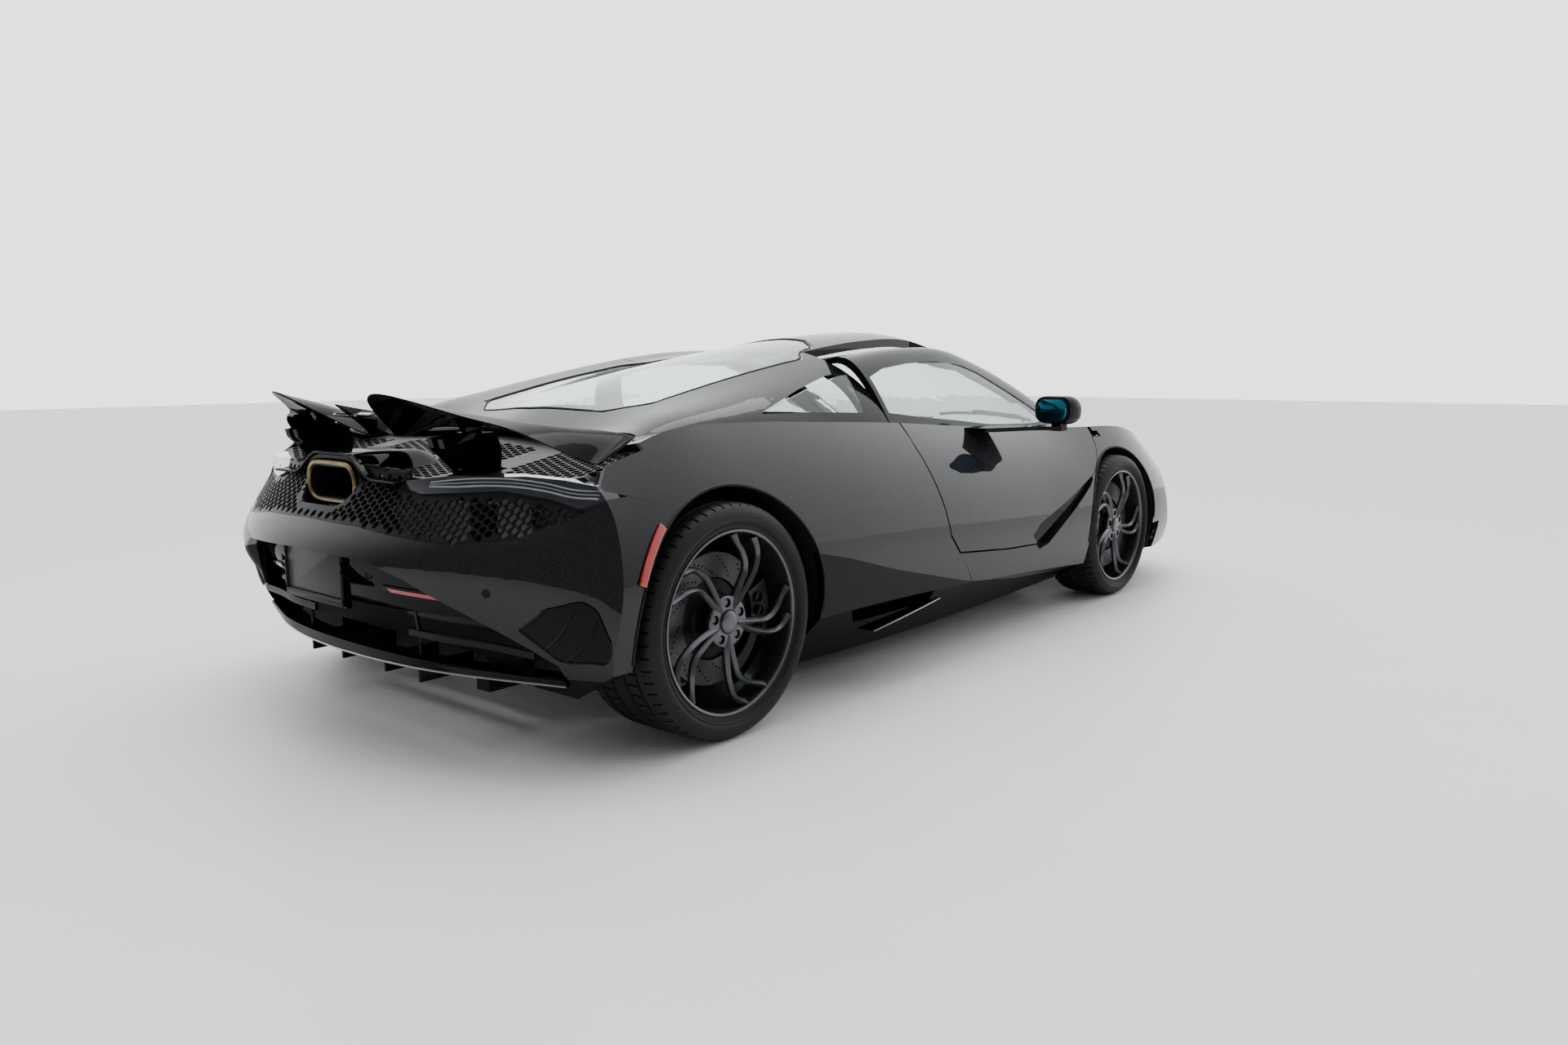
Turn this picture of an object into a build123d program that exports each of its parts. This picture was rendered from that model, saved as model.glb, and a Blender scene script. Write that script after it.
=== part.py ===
from build123d import *
from math import atan2, cos, degrees, pi, radians, sin, sqrt
import os

os.makedirs("parts", exist_ok=True)

# Mid-engined two-seat coupe. Millimetres, +X to the nose, +Y to the left, +Z up.
# The origin is on the ground under the middle of the whole car.

# ---- driving dimensions ----
nose_x = 2284.5
tail_x = -2284.5
front_axle_x = 1200.5
wheelbase = 2670.0
rear_axle_x = front_axle_x - wheelbase
front_track = 1674.0
rear_track = 1629.0
front_tyre_r = 327.0
front_tyre_w = 245.0
rear_tyre_r = 345.5
rear_tyre_w = 305.0
front_rim_r = 258.0
rear_rim_r = 271.0
front_well_r = 361.0
rear_well_r = 389.0
well_inner_y = 545.0
steer_angle = 28.0

skin = 8.0
door_depth = 85.0
frame_depth = 30.0
bonnet_depth = 16.0
glass_t = 5.0
glass_inset = 3.0
shut_gap = 6.0
fit = 0.3
shaft_fit = 0.05

# ---- guide curves of the lower body, as (x, value) along the car ----
crown_z = [(-2400, 775), (-2150, 806), (-1900, 822), (-1600, 880), (-1300, 905), (-900, 890), (0, 830),
           (600, 795), (1000, 775), (1300, 745), (1600, 690), (1900, 610), (2150, 525), (2400, 430)]
valley_y = [(-2400, 520), (-1600, 520), (-900, 560), (0, 560), (1000, 560), (1600, 540), (2400, 400)]
valley_z = [(-2400, 745), (-2150, 778), (-1900, 802), (-1600, 860), (-1300, 884), (-900, 880), (0, 826),
            (600, 790), (1000, 757), (1300, 735), (1600, 672), (1900, 590), (2150, 505), (2400, 410)]
crest_y = [(-2400, 800), (-1900, 822), (-1600, 806), (-1220, 800), (-870, 800), (-420, 785), (0, 765),
           (400, 752), (750, 758), (1050, 806), (1300, 838), (1550, 836), (1800, 795), (2050, 715), (2400, 560)]
crest_z = [(-2400, 745), (-2150, 772), (-1900, 804), (-1774, 842), (-1700, 872), (-1430, 903), (-1200, 903), (-870, 889),
           (-620, 878), (-420, 867), (0, 838), (350, 815), (750, 798), (1050, 787), (1300, 784), (1550, 744),
           (1750, 672), (2000, 572), (2200, 492), (2400, 405)]
waist_y = [(-2400, 905), (-2100, 935), (-1800, 958), (-1450, 965), (-900, 960), (-300, 946), (200, 934),
           (600, 930), (950, 940), (1200, 954), (1500, 950), (1800, 915), (2050, 858), (2400, 730)]
waist_z = [(-2400, 590), (-1450, 600), (-600, 590), (300, 580), (1200, 570), (1600, 520), (2000, 430), (2400, 350)]
sill_y = [(-2400, 880), (-1800, 950), (-1450, 958), (-600, 955), (300, 945), (950, 940), (1200, 940), (1600, 925),
          (2000, 845), (2400, 720)]
sill_z = [(-2400, 270), (-1450, 290), (-600, 280), (300, 235), (950, 190), (1600, 165), (2400, 160)]
floor_y = [(-2400, 700), (-1450, 760), (-600, 800), (950, 800), (1600, 760), (2400, 620)]
floor_z = [(-2400, 215), (-1900, 165), (-1500, 125), (950, 120), (1600, 122), (2400, 130)]

# ---- guide curves of the cabin ----
roof_z = [(-1560, 880), (-1430, 935), (-1290, 984), (-1117, 1030), (-943, 1069), (-780, 1099), (-430, 1152),
          (-210, 1176), (0, 1192), (120, 1196), (300, 1178), (500, 1120), (800, 985), (1100, 835), (1250, 758)]
rail_y = [(-1560, 470), (-1100, 492), (-800, 505), (-450, 520), (-100, 530), (150, 537), (450, 552), (750, 585),
          (1050, 628), (1250, 650)]
rail_z = [(-1560, 868), (-1430, 915), (-1100, 992), (-800, 1048), (-450, 1098), (-100, 1126), (150, 1124),
          (450, 1058), (750, 950), (1050, 822), (1250, 738)]
belt_y = [(-1560, 700), (-1100, 722), (-800, 728), (-450, 745), (0, 748), (500, 735), (1000, 722), (1250, 706)]
belt_z = [(-1560, 830), (-1430, 850), (-1100, 862), (-800, 860), (-450, 846), (0, 815), (500, 785), (1000, 762),
          (1250, 715)]

# ---- plan of the two ends, as (height, x of the end, share of corner sweep) ----
tail_levels = [(60, -2000, 0.50), (250, -2112, 0.60), (440, -2234, 0.80), (610, -2264, 1.0), (670, -2215, 0.95),
               (740, -2160, 0.88), (810, -2140, 0.85), (1000, -2090, 0.80)]
nose_levels = [(60, 2190, 1.0), (140, 2250, 1.0), (240, nose_x, 1.0), (380, 2262, 1.0), (520, 2190, 1.0),
               (620, 2118, 1.0), (700, 2050, 1.0), (1000, 1800, 1.0)]
tail_sweep = [(0, 0), (300, 32), (500, 100), (650, 178), (800, 262), (910, 340), (1060, 560)]
nose_sweep = [(0, 0), (300, 18), (560, 75), (760, 190), (880, 350), (1060, 760)]


def follow(guide, x):
    """Smooth value of a guide curve at x, with limited slopes so that it never overshoots."""
    xs = [p[0] for p in guide]
    ys = [p[1] for p in guide]
    x = min(max(x, xs[0]), xs[-1])
    i = max(k for k in range(len(xs) - 1) if xs[k] <= x)
    chord = [(ys[k + 1] - ys[k]) / (xs[k + 1] - xs[k]) for k in range(len(xs) - 1)]

    def slope(k):
        if k == 0:
            return chord[0]
        if k == len(xs) - 1:
            return chord[-1]
        before, after = xs[k] - xs[k - 1], xs[k + 1] - xs[k]
        return (chord[k - 1] * after + chord[k] * before) / (before + after)

    h = xs[i + 1] - xs[i]
    t = (x - xs[i]) / h
    return ((2 * t**3 - 3 * t**2 + 1) * ys[i] + (t**3 - 2 * t**2 + t) * h * slope(i)
            + (3 * t**2 - 2 * t**3) * ys[i + 1] + (t**3 - t**2) * h * slope(i + 1))


def stations(first, last, count):
    return [first + (last - first) * k / (count - 1) for k in range(count)]


def lower_body(inset=0.0, count=24):
    """Solid inside the lower body's skin, offset inwards by the inset."""
    with BuildPart() as body:
        for x in stations(-2400, 2400, count):
            crown = follow(crown_z, x) - inset
            valley = (follow(valley_y, x), follow(valley_z, x) - inset)
            crest = (follow(crest_y, x) - 0.8 * inset, follow(crest_z, x) - inset)
            waist = (follow(waist_y, x) - inset, follow(waist_z, x))
            sill = (follow(sill_y, x) - inset, follow(sill_z, x) + 0.3 * inset)
            base = (follow(floor_y, x) - inset, follow(floor_z, x) + inset)
            with BuildSketch(Plane.YZ.offset(x)):
                with BuildLine():
                    Spline((-crest[0], crest[1]), (-valley[0], valley[1]), (0, crown), valley, crest)
                    Spline(crest, waist, sill)
                    Polyline(sill, base, (-base[0], base[1]), (-sill[0], sill[1]))
                    Spline((-sill[0], sill[1]), (-waist[0], waist[1]), (-crest[0], crest[1]))
                make_face()
        loft()
    return body.part


def cabin(inset=0.0, count=22):
    """Solid inside the cabin's skin, offset inwards by the inset."""
    with BuildPart() as body:
        for x in stations(-1560, 1250, count):
            roof = follow(roof_z, x) - inset
            rail = (follow(rail_y, x) - 0.7 * inset, follow(rail_z, x) - 0.8 * inset)
            belt = (follow(belt_y, x) - inset, follow(belt_z, x))
            foot = (follow(belt_y, x) - inset, 560)
            with BuildSketch(Plane.YZ.offset(x)):
                with BuildLine():
                    Spline((-belt[0], belt[1]), (-rail[0], rail[1]), (0, roof), rail, belt,
                           tangents=((0.25, 1), (0.25, -1)))
                    Polyline(belt, foot, (-foot[0], foot[1]), (-belt[0], belt[1]))
                make_face()
        loft()
    return body.part


def envelope(inset=0.0):
    """Solid between the tail's and the nose's faces, lofted upwards through their plans."""
    with BuildPart() as body:
        for (z, tail, sweep_t), (z_n, nose, sweep_n) in zip(tail_levels, nose_levels):
            rear = [(tail + inset + sweep_t * s, y) for y, s in tail_sweep]
            front = [(nose_at(z) - inset - sweep_n * s, y) for y, s in nose_sweep]
            with BuildSketch(Plane.XY.offset(z)):
                with BuildLine():
                    Spline(*[(x, -y) for x, y in reversed(rear)], *rear[1:])
                    Line(rear[-1], front[-1])
                    Spline(*reversed(front), *[(x, -y) for x, y in front[1:]])
                    Line((front[-1][0], -front[-1][1]), (rear[-1][0], -rear[-1][1]))
                make_face()
        loft()
    return body.part


def nose_at(z):
    return follow([(level[0], level[1]) for level in nose_levels], z)


def side_prism(y_from, y_to, *outline):
    """Solid of a side-view outline (x, z), between two values of y."""
    with BuildPart() as prism:
        with BuildSketch(Plane.XZ.offset(-y_to)):
            with BuildLine():
                Polyline(*outline, close=True)
            make_face()
        extrude(amount=y_to - y_from)
    return prism.part


def plan_prism(z_from, z_to, *outline):
    """Solid of a plan outline (x, y), between two heights."""
    with BuildPart() as prism:
        with BuildSketch(Plane.XY.offset(z_from)):
            with BuildLine():
                Polyline(*outline, close=True)
            make_face()
        extrude(amount=z_to - z_from)
    return prism.part


def end_prism(x_from, x_to, *outline):
    """Solid of an end-view outline (y, z), between two values of x."""
    with BuildPart() as prism:
        with BuildSketch(Plane.YZ.offset(x_from)):
            with BuildLine():
                Polyline(*outline, close=True)
            make_face()
        extrude(amount=x_to - x_from)
    return prism.part


def block(x0, x1, y0, y1, z0, z1):
    """Plain box between two corners."""
    with BuildPart() as box:
        with Locations(((x0 + x1) / 2, (y0 + y1) / 2, (z0 + z1) / 2)):
            Box(x1 - x0, y1 - y0, z1 - z0)
    return box.part


def both_sides(half):
    """The outline of the left half, completed with its mirror image."""
    return [*half, *[(x, -y) for x, y in reversed(half) if y != 0]]


def both_ends(half):
    """The end-view outline (y, z) of the left half, completed with its mirror image."""
    return [*half, *[(-y, z) for y, z in reversed(half) if y != 0]]


def lateral_cylinder(x, z, radius, y0, y1):
    with BuildPart() as drum:
        with BuildSketch(Plane.XZ.offset(-y1)):
            with Locations((x, z)):
                Circle(radius)
        extrude(amount=y1 - y0)
    return drum.part


def right_of(left):
    """Mirror image on the car's right side."""
    return mirror(left, about=Plane.XZ)


def save(shape, name):
    """Write one node, its solids in one file."""
    solids = [s for s in shape.solids() if s.volume > 2000]
    node = Compound(children=solids) if len(solids) > 1 else solids[0]
    node.label = name
    export_step(node, f"parts/{name}.step")
    print(name, len(solids), round(sum(s.volume for s in solids) / 1e6, 2))


# ---- the whole body's skin ----
hull = lower_body() & envelope()


def hull_in(inset):
    return lower_body(inset) & envelope(inset)


hull_skin = hull_in(skin)
shell = hull - hull_skin
cabin_out = cabin()
cabin_in = cabin(frame_depth)

# ---- wheel wells ----


def well(x, z, radius):
    """Room round one left wheel: a drum, open downwards."""
    drum = lateral_cylinder(x, z, radius, well_inner_y, 1100)
    return drum + block(x - radius, x + radius, well_inner_y, 1100, 0, z)


front_well = well(front_axle_x, front_tyre_r, front_well_r)
rear_well = well(rear_axle_x, rear_tyre_r, rear_well_r)
wells = front_well + rear_well

# ---- side-view lines of the panels, left side ----
door_rear = [(-385, 900), (-392, 793), (-377, 705), (-345, 570), (-320, 463), (-257, 394)]
door_bottom = [(-257, 394), (110, 361), (350, 350)]
channel_top = [(350, 350), (309, 386), (377, 429), (652, 505), (925, 590)]
door_front = [(925, 590), (1000, 645), (1055, 705), (1095, 780), (1085, 900)]
door_line = door_rear + door_bottom[1:] + channel_top[1:] + door_front[1:]
blade_top = [(375, 322), (453, 338), (582, 406), (860, 540), (915, 578)]
sill_line = [(-1120, 505), (-950, 466), (-680, 390), (-200, 277), (250, 216), (830, 178)]
bumper_line = [(-1500, 640), (-1580, 674), (-1900, 762)]
front_bumper_x = 1668.0


def grown(points, dx, dz=0.0):
    return [(x + dx, z + dz) for x, z in points]


door_side = side_prism(500, 1200, *door_line)
door_side_clear = side_prism(
    500, 1200, *grown(door_rear, -shut_gap, -shut_gap), *grown(door_bottom[1:], 0, -shut_gap),
    (366, 344), (319, 385), *grown(channel_top[2:-1], 4, -7), *grown(door_front, shut_gap))

# ---- bonnet ----
bonnet_rear = 1246.0
bonnet_half = [(bonnet_rear, 0), (bonnet_rear, 555), (1500, 545), (1800, 500), (1985, 430), (2010, 300), (2018, 0)]
bonnet_plan = plan_prism(350, 1000, *both_sides(bonnet_half))
bonnet_clear = plan_prism(
    350, 1000, *both_sides([(bonnet_rear - 12, 0), (bonnet_rear - 12, 563), (1505, 552), (1805, 507),
                            (1992, 436), (2018, 304), (2026, 0)]))

# ---- cabin openings ----
door_roof_cut = plan_prism(500, 1300, (-800, 430), (200, 430), (330, 470), (450, 562), (750, 596), (1050, 640),
                           (1110, 664), (1110, 1200), (-800, 1200))
door_upper_side = side_prism(200, 1200, (-392, 820), (-392, 862), (-480, 1060), (-560, 1250), (500, 1250),
                             (1110, 900), (1110, 760), (900, 740), (0, 740))
door_upper_side_clear = side_prism(200, 1200, (-392 - shut_gap, 820), (-392 - shut_gap, 862),
                                   (-480 - shut_gap, 1060), (-560 - shut_gap, 1250), (500, 1250), (1118, 900),
                                   (1118, 760), (900, 740), (0, 740))
door_roof_clear = plan_prism(500, 1300, (-800, 430 - shut_gap), (203, 430 - shut_gap), (335, 464), (454, 556),
                             (752, 590), (1052, 634), (1118, 658), (1118, 1200), (-800, 1200))
door_window = side_prism(300, 1200, (-384, 900), (-441, 1030), (-345, 1060), (-180, 1078), (-15, 1086), (120, 1084),
                         (230, 1070), (360, 1040), (495, 992), (640, 938), (790, 876), (930, 822), (745, 815),
                         (560, 818), (350, 828), (75, 855), (-150, 875))
windscreen_plan = plan_prism(700, 1300, *both_sides([(330, 0), (335, 300), (350, 440), (450, 502), (750, 540),
                                                     (1050, 585), (1222, 612), (1228, 300), (1228, 0)]))
rear_glass_plan = plan_prism(700, 1300, *both_sides([(-285, 0), (-300, 150), (-335, 300), (-420, 412), (-508, 422),
                                                     (-570, 482), (-900, 468), (-1300, 445), (-1400, 330), (-1440, 0)]))
quarter_window = side_prism(480, 1200, (-1040, 926), (-800, 990), (-600, 1036), (-560, 1040), (-528, 905),
                            (-700, 912))

# ---- doors ----


def door_left():
    lower = (hull - lower_body(door_depth)) & door_side
    lower = lower - cabin_in - front_well
    upper = (cabin_out - cabin_in) & door_roof_cut & door_upper_side
    upper = upper - door_window
    door = lower + upper
    return door - block(-800, 1200, 0, 1300, 0, 300)


def glass_left():
    return (cabin(glass_inset) - cabin(glass_inset + glass_t)) & door_window


door_l = door_left()
door_glass_l = glass_left() - hull
door_l = door_l - door_glass_l

# room that the door keeps to its neighbours
door_room = door_side_clear + (door_roof_clear & door_upper_side_clear)

# ---- fixed panels of the sides ----
top_band = plan_prism(300, 1000, (-1900, 600), (-1400, 600), (-1400, 300), (1000, 300), (1215, 555), (1500, 545),
                      (1800, 500), (1985, 430), (1985, 1200), (-1900, 1200))


# room for the wing's tips inside the quarters
tip_room = block(-2400, -1692, 500, 828, 700, 1000)


def rear_quarter_left():
    region = side_prism(600, 1200, *sill_and_bumper())
    panel = shell & region
    return panel - tip_room - door_room - rear_well - cabin_out


def sill_and_bumper():
    """Outline from the sill line's middle back to the tail, over the rear arch."""
    return [(-257, 1000), (-257, 394), (-147, 268), (-200, 277), (-680, 390), (-950, 466), (-1120, 505), (-1180, 400),
            (-1469, 300), (-1560, 600), (-1580, 674), (-1872, 755), (-1878, 764), (-1752, 895), (-1752, 1000)]


rear_quarter_l = rear_quarter_left()

fender_side = side_prism(480, 1200, (900, 560), (925, 1000), (front_bumper_x, 1000), (front_bumper_x, 100),
                         (1400, 100), (front_axle_x, 250))
front_fender_l = (shell & fender_side & top_band) - door_room - front_well - cabin_out - bonnet_clear
blade_side = side_prism(780, 1200, (-143, 268), (-252, 394 - shut_gap), (110, 361 - shut_gap),
                        (345, 350 - shut_gap), *blade_top, (1000, 640), (1040, 200), (830, 178), (250, 216))
blade_l = (hull - hull_in(60)) & blade_side
blade_l = blade_l - door_room - front_well
front_fender_l = front_fender_l + blade_l

# black channel behind the front of the sill
channel_side = side_prism(780, 1200, (345, 350 - shut_gap), (375, 322), (453, 338), (582, 406), (889, 556),
                          (905, 585), (652, 505), (377, 429), (309, 386))
channel_l = ((hull_in(26) - hull_in(60)) & channel_side) - door_room - blade_l - front_well

# black side skirts
skirt_side = side_prism(700, 1200, *sill_line, (850, 60), (-1120, 60))
side_skirt_l = ((hull - hull_in(25)) & skirt_side) - wells - blade_l - rear_quarter_l

# ---- bonnet and front bumper ----
bonnet_skin = (hull - hull_in(bonnet_depth)) & bonnet_plan
bonnet_skin = bonnet_skin - cabin_out

front_region = block(front_bumper_x, 2400, -1200, 1200, 60, 1000) + block(1985, 2400, -1200, 1200, 0, 1000)
lower_grille = end_prism(1900, 2400, *both_ends([(0, 330), (520, 330), (700, 300), (690, 215), (430, 190), (0, 190)]))
lamp_plan_l = plan_prism(400, 1000, (1700, 700), (1760, 760), (1900, 745), (2010, 640), (2040, 540), (1960, 560),
                         (1820, 640))
headlamp_l = (hull_in(2) - hull_in(40)) & lamp_plan_l
lamp_room = lamp_plan_l + right_of(lamp_plan_l)
front_bumper = (shell & front_region) - bonnet_clear - lower_grille - lamp_room - wells - right_of(wells)
front_bumper = front_bumper - front_fender_l - right_of(front_fender_l)
front_fender_l = front_fender_l - lamp_room
front_grille = (hull_in(skin) - hull_in(2 * skin)) & end_prism(1900, 2400, *both_ends(
    [(0, 345), (540, 345), (720, 312), (705, 200), (440, 175), (0, 175)]))

# ---- tail ----
bumper_side = side_prism(-1200, 1200, (-1500, 640), (-1580, 674), (-1900, 762), (-2400, 764), (-2400, 60),
                         (-1500, 60))
mesh_half = [(0, 652), (250, 645), (400, 628), (550, 614), (700, 630), (820, 684), (850, 704), (830, 710),
             (760, 732), (630, 750), (400, 735), (330, 752), (330, 900), (0, 900)]
mesh_end = end_prism(-2400, -1800, *both_ends(mesh_half))
lamp_depth = 40.0
blade_lamp_l = end_prism(-2400, -1800, (330, 752), (400, 735), (630, 750), (760, 732), (830, 710), (880, 728),
                         (930, 762), (930, 800), (870, 766), (780, 782), (620, 794), (480, 786), (340, 768))
lower_half = [(0, 575), (330, 565), (450, 520), (620, 410), (800, 300), (810, 235), (0, 235)]
lower_end = end_prism(-2400, -1800, *both_ends(lower_half))
lip_end = block(-2400, -1500, -1000, 1000, 60, 262)
rear_bumper = (shell & bumper_side) - mesh_end - lower_end - lip_end - blade_lamp_l - right_of(blade_lamp_l)
rear_bumper = rear_bumper - rear_well - right_of(rear_well)
rear_bumper = rear_bumper - rear_quarter_l - right_of(rear_quarter_l)
tail_lamp_l = ((hull & blade_lamp_l) - envelope(lamp_depth)) - rear_quarter_l - rear_bumper
rear_quarter_l = rear_quarter_l - tail_lamp_l

exhaust_z = 745.0
exhaust_half_w = 134.0
exhaust_half_h = 60.0
exhaust_mouth_x = -2146.0
exhaust_wall = 14.0
with BuildPart() as exhaust:
    with BuildSketch(Plane.YZ.offset(exhaust_mouth_x)):
        with Locations((0, exhaust_z)):
            RectangleRounded(2 * exhaust_half_w, 2 * exhaust_half_h, 55)
            RectangleRounded(2 * (exhaust_half_w - exhaust_wall), 2 * (exhaust_half_h - exhaust_wall), 44,
                             mode=Mode.SUBTRACT)
    extrude(amount=230)
with BuildPart() as exhaust_room:
    with BuildSketch(Plane.YZ.offset(-2400)):
        with Locations((0, exhaust_z)):
            RectangleRounded(2 * exhaust_half_w, 2 * exhaust_half_h, 55)
    extrude(amount=700)

rear_fascia = ((hull & envelope(skin)) - envelope(2 * skin)) & (end_prism(-2400, -1800, *both_ends(
    [(0, 640), (250, 633), (400, 616), (550, 602), (700, 618), (830, 676), (866, 702), (866, 742), (760, 758),
     (620, 772), (480, 768), (345, 758), (320, 830), (0, 830)])))
rear_fascia = rear_fascia - exhaust_room.part - tail_lamp_l - right_of(tail_lamp_l) - rear_quarter_l
rear_fascia = rear_fascia - right_of(rear_quarter_l) - rear_bumper

deck_plan = plan_prism(700, 1000, *both_sides([(-1600, 0), (-1600, 600), (-1400, 600), (-1300, 420), (-1300, 0)]))
rear_deck = (shell & deck_plan) - cabin_out - rear_quarter_l - right_of(rear_quarter_l)
deck_drop = 25.0
deck_mesh = (lower_body(deck_drop) - lower_body(deck_drop + skin)) & envelope(lamp_depth) & plan_prism(
    700, 1000, *both_sides([(-2400, 0), (-2400, 850), (-1750, 850), (-1680, 800), (-1680, 600), (-1590, 560), (-1590, 0)]))
deck_mesh = deck_mesh - exhaust_room.part

recess_depth = 70.0
recess_wall = 8.0
wall_half = [(0, 583), (333, 573), (456, 527), (628, 416), (808, 304), (818, 240), (0, 240)]
plate_x = -2212.0
plate_hole_r = 3.5
plate_hole_pitch = 178.0
recess_back = (hull_in(recess_depth) - hull_in(recess_depth + recess_wall)) & end_prism(-2400, -1900, *both_ends(
    [(0, 583), (333, 573), (456, 527), (628, 416), (640, 400), (0, 400)]))
recess_rim = (hull_in(skin) - hull_in(recess_depth + recess_wall)) & end_prism(-2400, -1900, *both_ends(wall_half))
recess_rim = recess_rim - lower_end
with BuildPart() as diffuser:
    add(recess_back)
    add(recess_rim)
    add((hull - hull_in(60)) & block(-2400, -1900, -1000, 1000, 236, 262))
    for y in (-300, -120, 120, 300):
        with Locations((-1990, y, 216)):
            Box(180, 8, 56)
    with Locations((-2170, 0, 500)):
        Box(64, 240, 40)
    with Locations((plate_x + 8, 0, 497)):
        Box(16, 330, 185)
    with Locations((plate_x, -plate_hole_pitch / 2, 565), (plate_x, plate_hole_pitch / 2, 565)):
        Cylinder(plate_hole_r, 60, rotation=(0, 90, 0), mode=Mode.SUBTRACT)
diffuser = diffuser.part - rear_well - right_of(rear_well)

# ---- cabin frame and glass ----
frame = (cabin_out - cabin_in) - hull - windscreen_plan - rear_glass_plan - block(1222, 1300, -700, 700, 500, 900)
frame = frame - quarter_window - right_of(quarter_window) - door_room - right_of(door_room)
glass_skin = cabin(glass_inset) - cabin(glass_inset + glass_t)
windscreen = (glass_skin & windscreen_plan) - hull
rear_glass = (glass_skin & rear_glass_plan) - hull
quarter_glass_l = (glass_skin & quarter_window) - hull

# ---- hinges of the doors and the bonnet ----
door_axis_at = (1132.0, 822.0, 732.0)
door_axis_dir = (-0.106, 0.659, -0.744)
hinge_pin_r = 7.0
hinge_lug_r = 14.0
hinge_lug_w = 24.0
door_axis_plane = Plane(origin=door_axis_at, z_dir=door_axis_dir)


def round_bar(plane, start, end, radius):
    """Cylinder along a plane's normal, from one offset to another."""
    with BuildPart() as bar:
        with BuildSketch(plane.offset(start)):
            Circle(radius)
        extrude(amount=end - start)
    return bar.part


door_pin_l = round_bar(door_axis_plane, -18, 40, hinge_pin_r)
door_lug_l = round_bar(door_axis_plane, -hinge_lug_w / 2, hinge_lug_w / 2, hinge_lug_r)
arm_room = round_bar(door_axis_plane, -hinge_lug_w / 2 - 5, hinge_lug_w / 2 + 5, 64)
arm_room = (arm_room & block(1060, 1152, 700, 1000, 600, 900)) + round_bar(door_axis_plane, -18, 18, 20)
arm_l = round_bar(door_axis_plane, -hinge_lug_w / 2, hinge_lug_w / 2, 56) & block(1060, 1130, 806, 838, 712, 750)
door_lug_l = (door_lug_l + arm_l) - round_bar(door_axis_plane, -60, 60, hinge_pin_r + shaft_fit)
door_l = door_l + (door_lug_l - door_pin_l)
front_fender_l = front_fender_l - arm_room

bonnet_axis = (bonnet_rear + 12, 728.0)
bonnet_hinge_y = 430.0
bonnet_pin_r = 6.0
bonnet_lug_r = 11.0
lug_half_w = 12.0
post_t = 14.0
lug_inner_y = bonnet_hinge_y - lug_half_w
bonnet_lug_l = lateral_cylinder(*bonnet_axis, bonnet_lug_r, lug_inner_y, bonnet_hinge_y + lug_half_w)
bonnet_lug_l = bonnet_lug_l + side_prism(
    lug_inner_y, bonnet_hinge_y + lug_half_w, (bonnet_axis[0], bonnet_axis[1] - bonnet_lug_r),
    (bonnet_axis[0], bonnet_axis[1] + 4), (bonnet_axis[0] + 40, bonnet_axis[1] + 4),
    (bonnet_axis[0] + 40, bonnet_axis[1] - 8))
hinge_room_l = block(bonnet_rear - 10, bonnet_axis[0] + 14, lug_inner_y - post_t - 6, lug_inner_y, 680, 780)
hinge_room_l = hinge_room_l + block(bonnet_rear - 10, bonnet_axis[0] + 14, bonnet_hinge_y + lug_half_w,
                                    bonnet_hinge_y + lug_half_w + 6, 680, 780)
bonnet_skin = bonnet_skin - hinge_room_l - right_of(hinge_room_l)
bonnet_bore_l = lateral_cylinder(*bonnet_axis, bonnet_pin_r + shaft_fit, 0, 600)
bonnet_skin = (bonnet_skin + bonnet_lug_l + right_of(bonnet_lug_l)) - bonnet_bore_l - right_of(bonnet_bore_l)
bonnet_pin_l = lateral_cylinder(*bonnet_axis, bonnet_pin_r, lug_inner_y - post_t, bonnet_hinge_y + lug_half_w + 3)
bonnet_post_l = block(1200, bonnet_axis[0] + 8, lug_inner_y - post_t, lug_inner_y - 1, 690, bonnet_axis[1] + 8)

# ---- wheels ----
hub_bore_r = 32.0
hub_r = 72.0
disc_r = 197.0
disc_t = 30.0
disc_offset = 22.0
face_inset = 14.0
hub_recess = 24.0
hub_cap_t = 16.0
spoke_pairs = 5
first_pair = 58.0
spoke_half_w = 9.0
spoke_depth = 34.0
# each bar of a pair as (share of the reach, turn in degrees from the pair's middle)
inner_bar = [(0.22, -6), (0.45, -8), (0.70, -5), (0.86, 0), (1.0, 9)]
outer_bar = [(0.24, 5), (0.43, 6), (0.63, 8), (0.76, 15), (0.88, 24), (1.0, 28)]
wheel_gap = fit


def disc_between(x, z, radius, y0, y1, mode=Mode.ADD):
    """Round slab across the car, inside the open part."""
    with BuildSketch(Plane.XZ.offset(-max(y0, y1))) as slab:
        with Locations((x, z)):
            Circle(radius)
    extrude(slab.sketch, amount=abs(y1 - y0), mode=mode)


def tyre(x, y, radius, width, rim_r):
    """Closed ring of one tyre, tread and both side walls, round its rim."""
    half = width / 2
    bead = rim_r - 8
    with BuildPart() as ring:
        with BuildSketch(Plane((x, 0, radius))):
            with BuildLine():
                Polyline((bead, y - half + 14), (bead, y + half - 14), (rim_r + 14, y + half - 3),
                         (radius - 36, y + half), (radius - 9, y + half - 17), (radius, y + half - 44),
                         (radius, y - half + 44), (radius - 9, y - half + 17), (radius - 36, y - half),
                         (rim_r + 14, y - half + 3), close=True)
            make_face()
        revolve(axis=Axis((x, 0, radius), (0, 1, 0)))
    return ring.part


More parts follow.
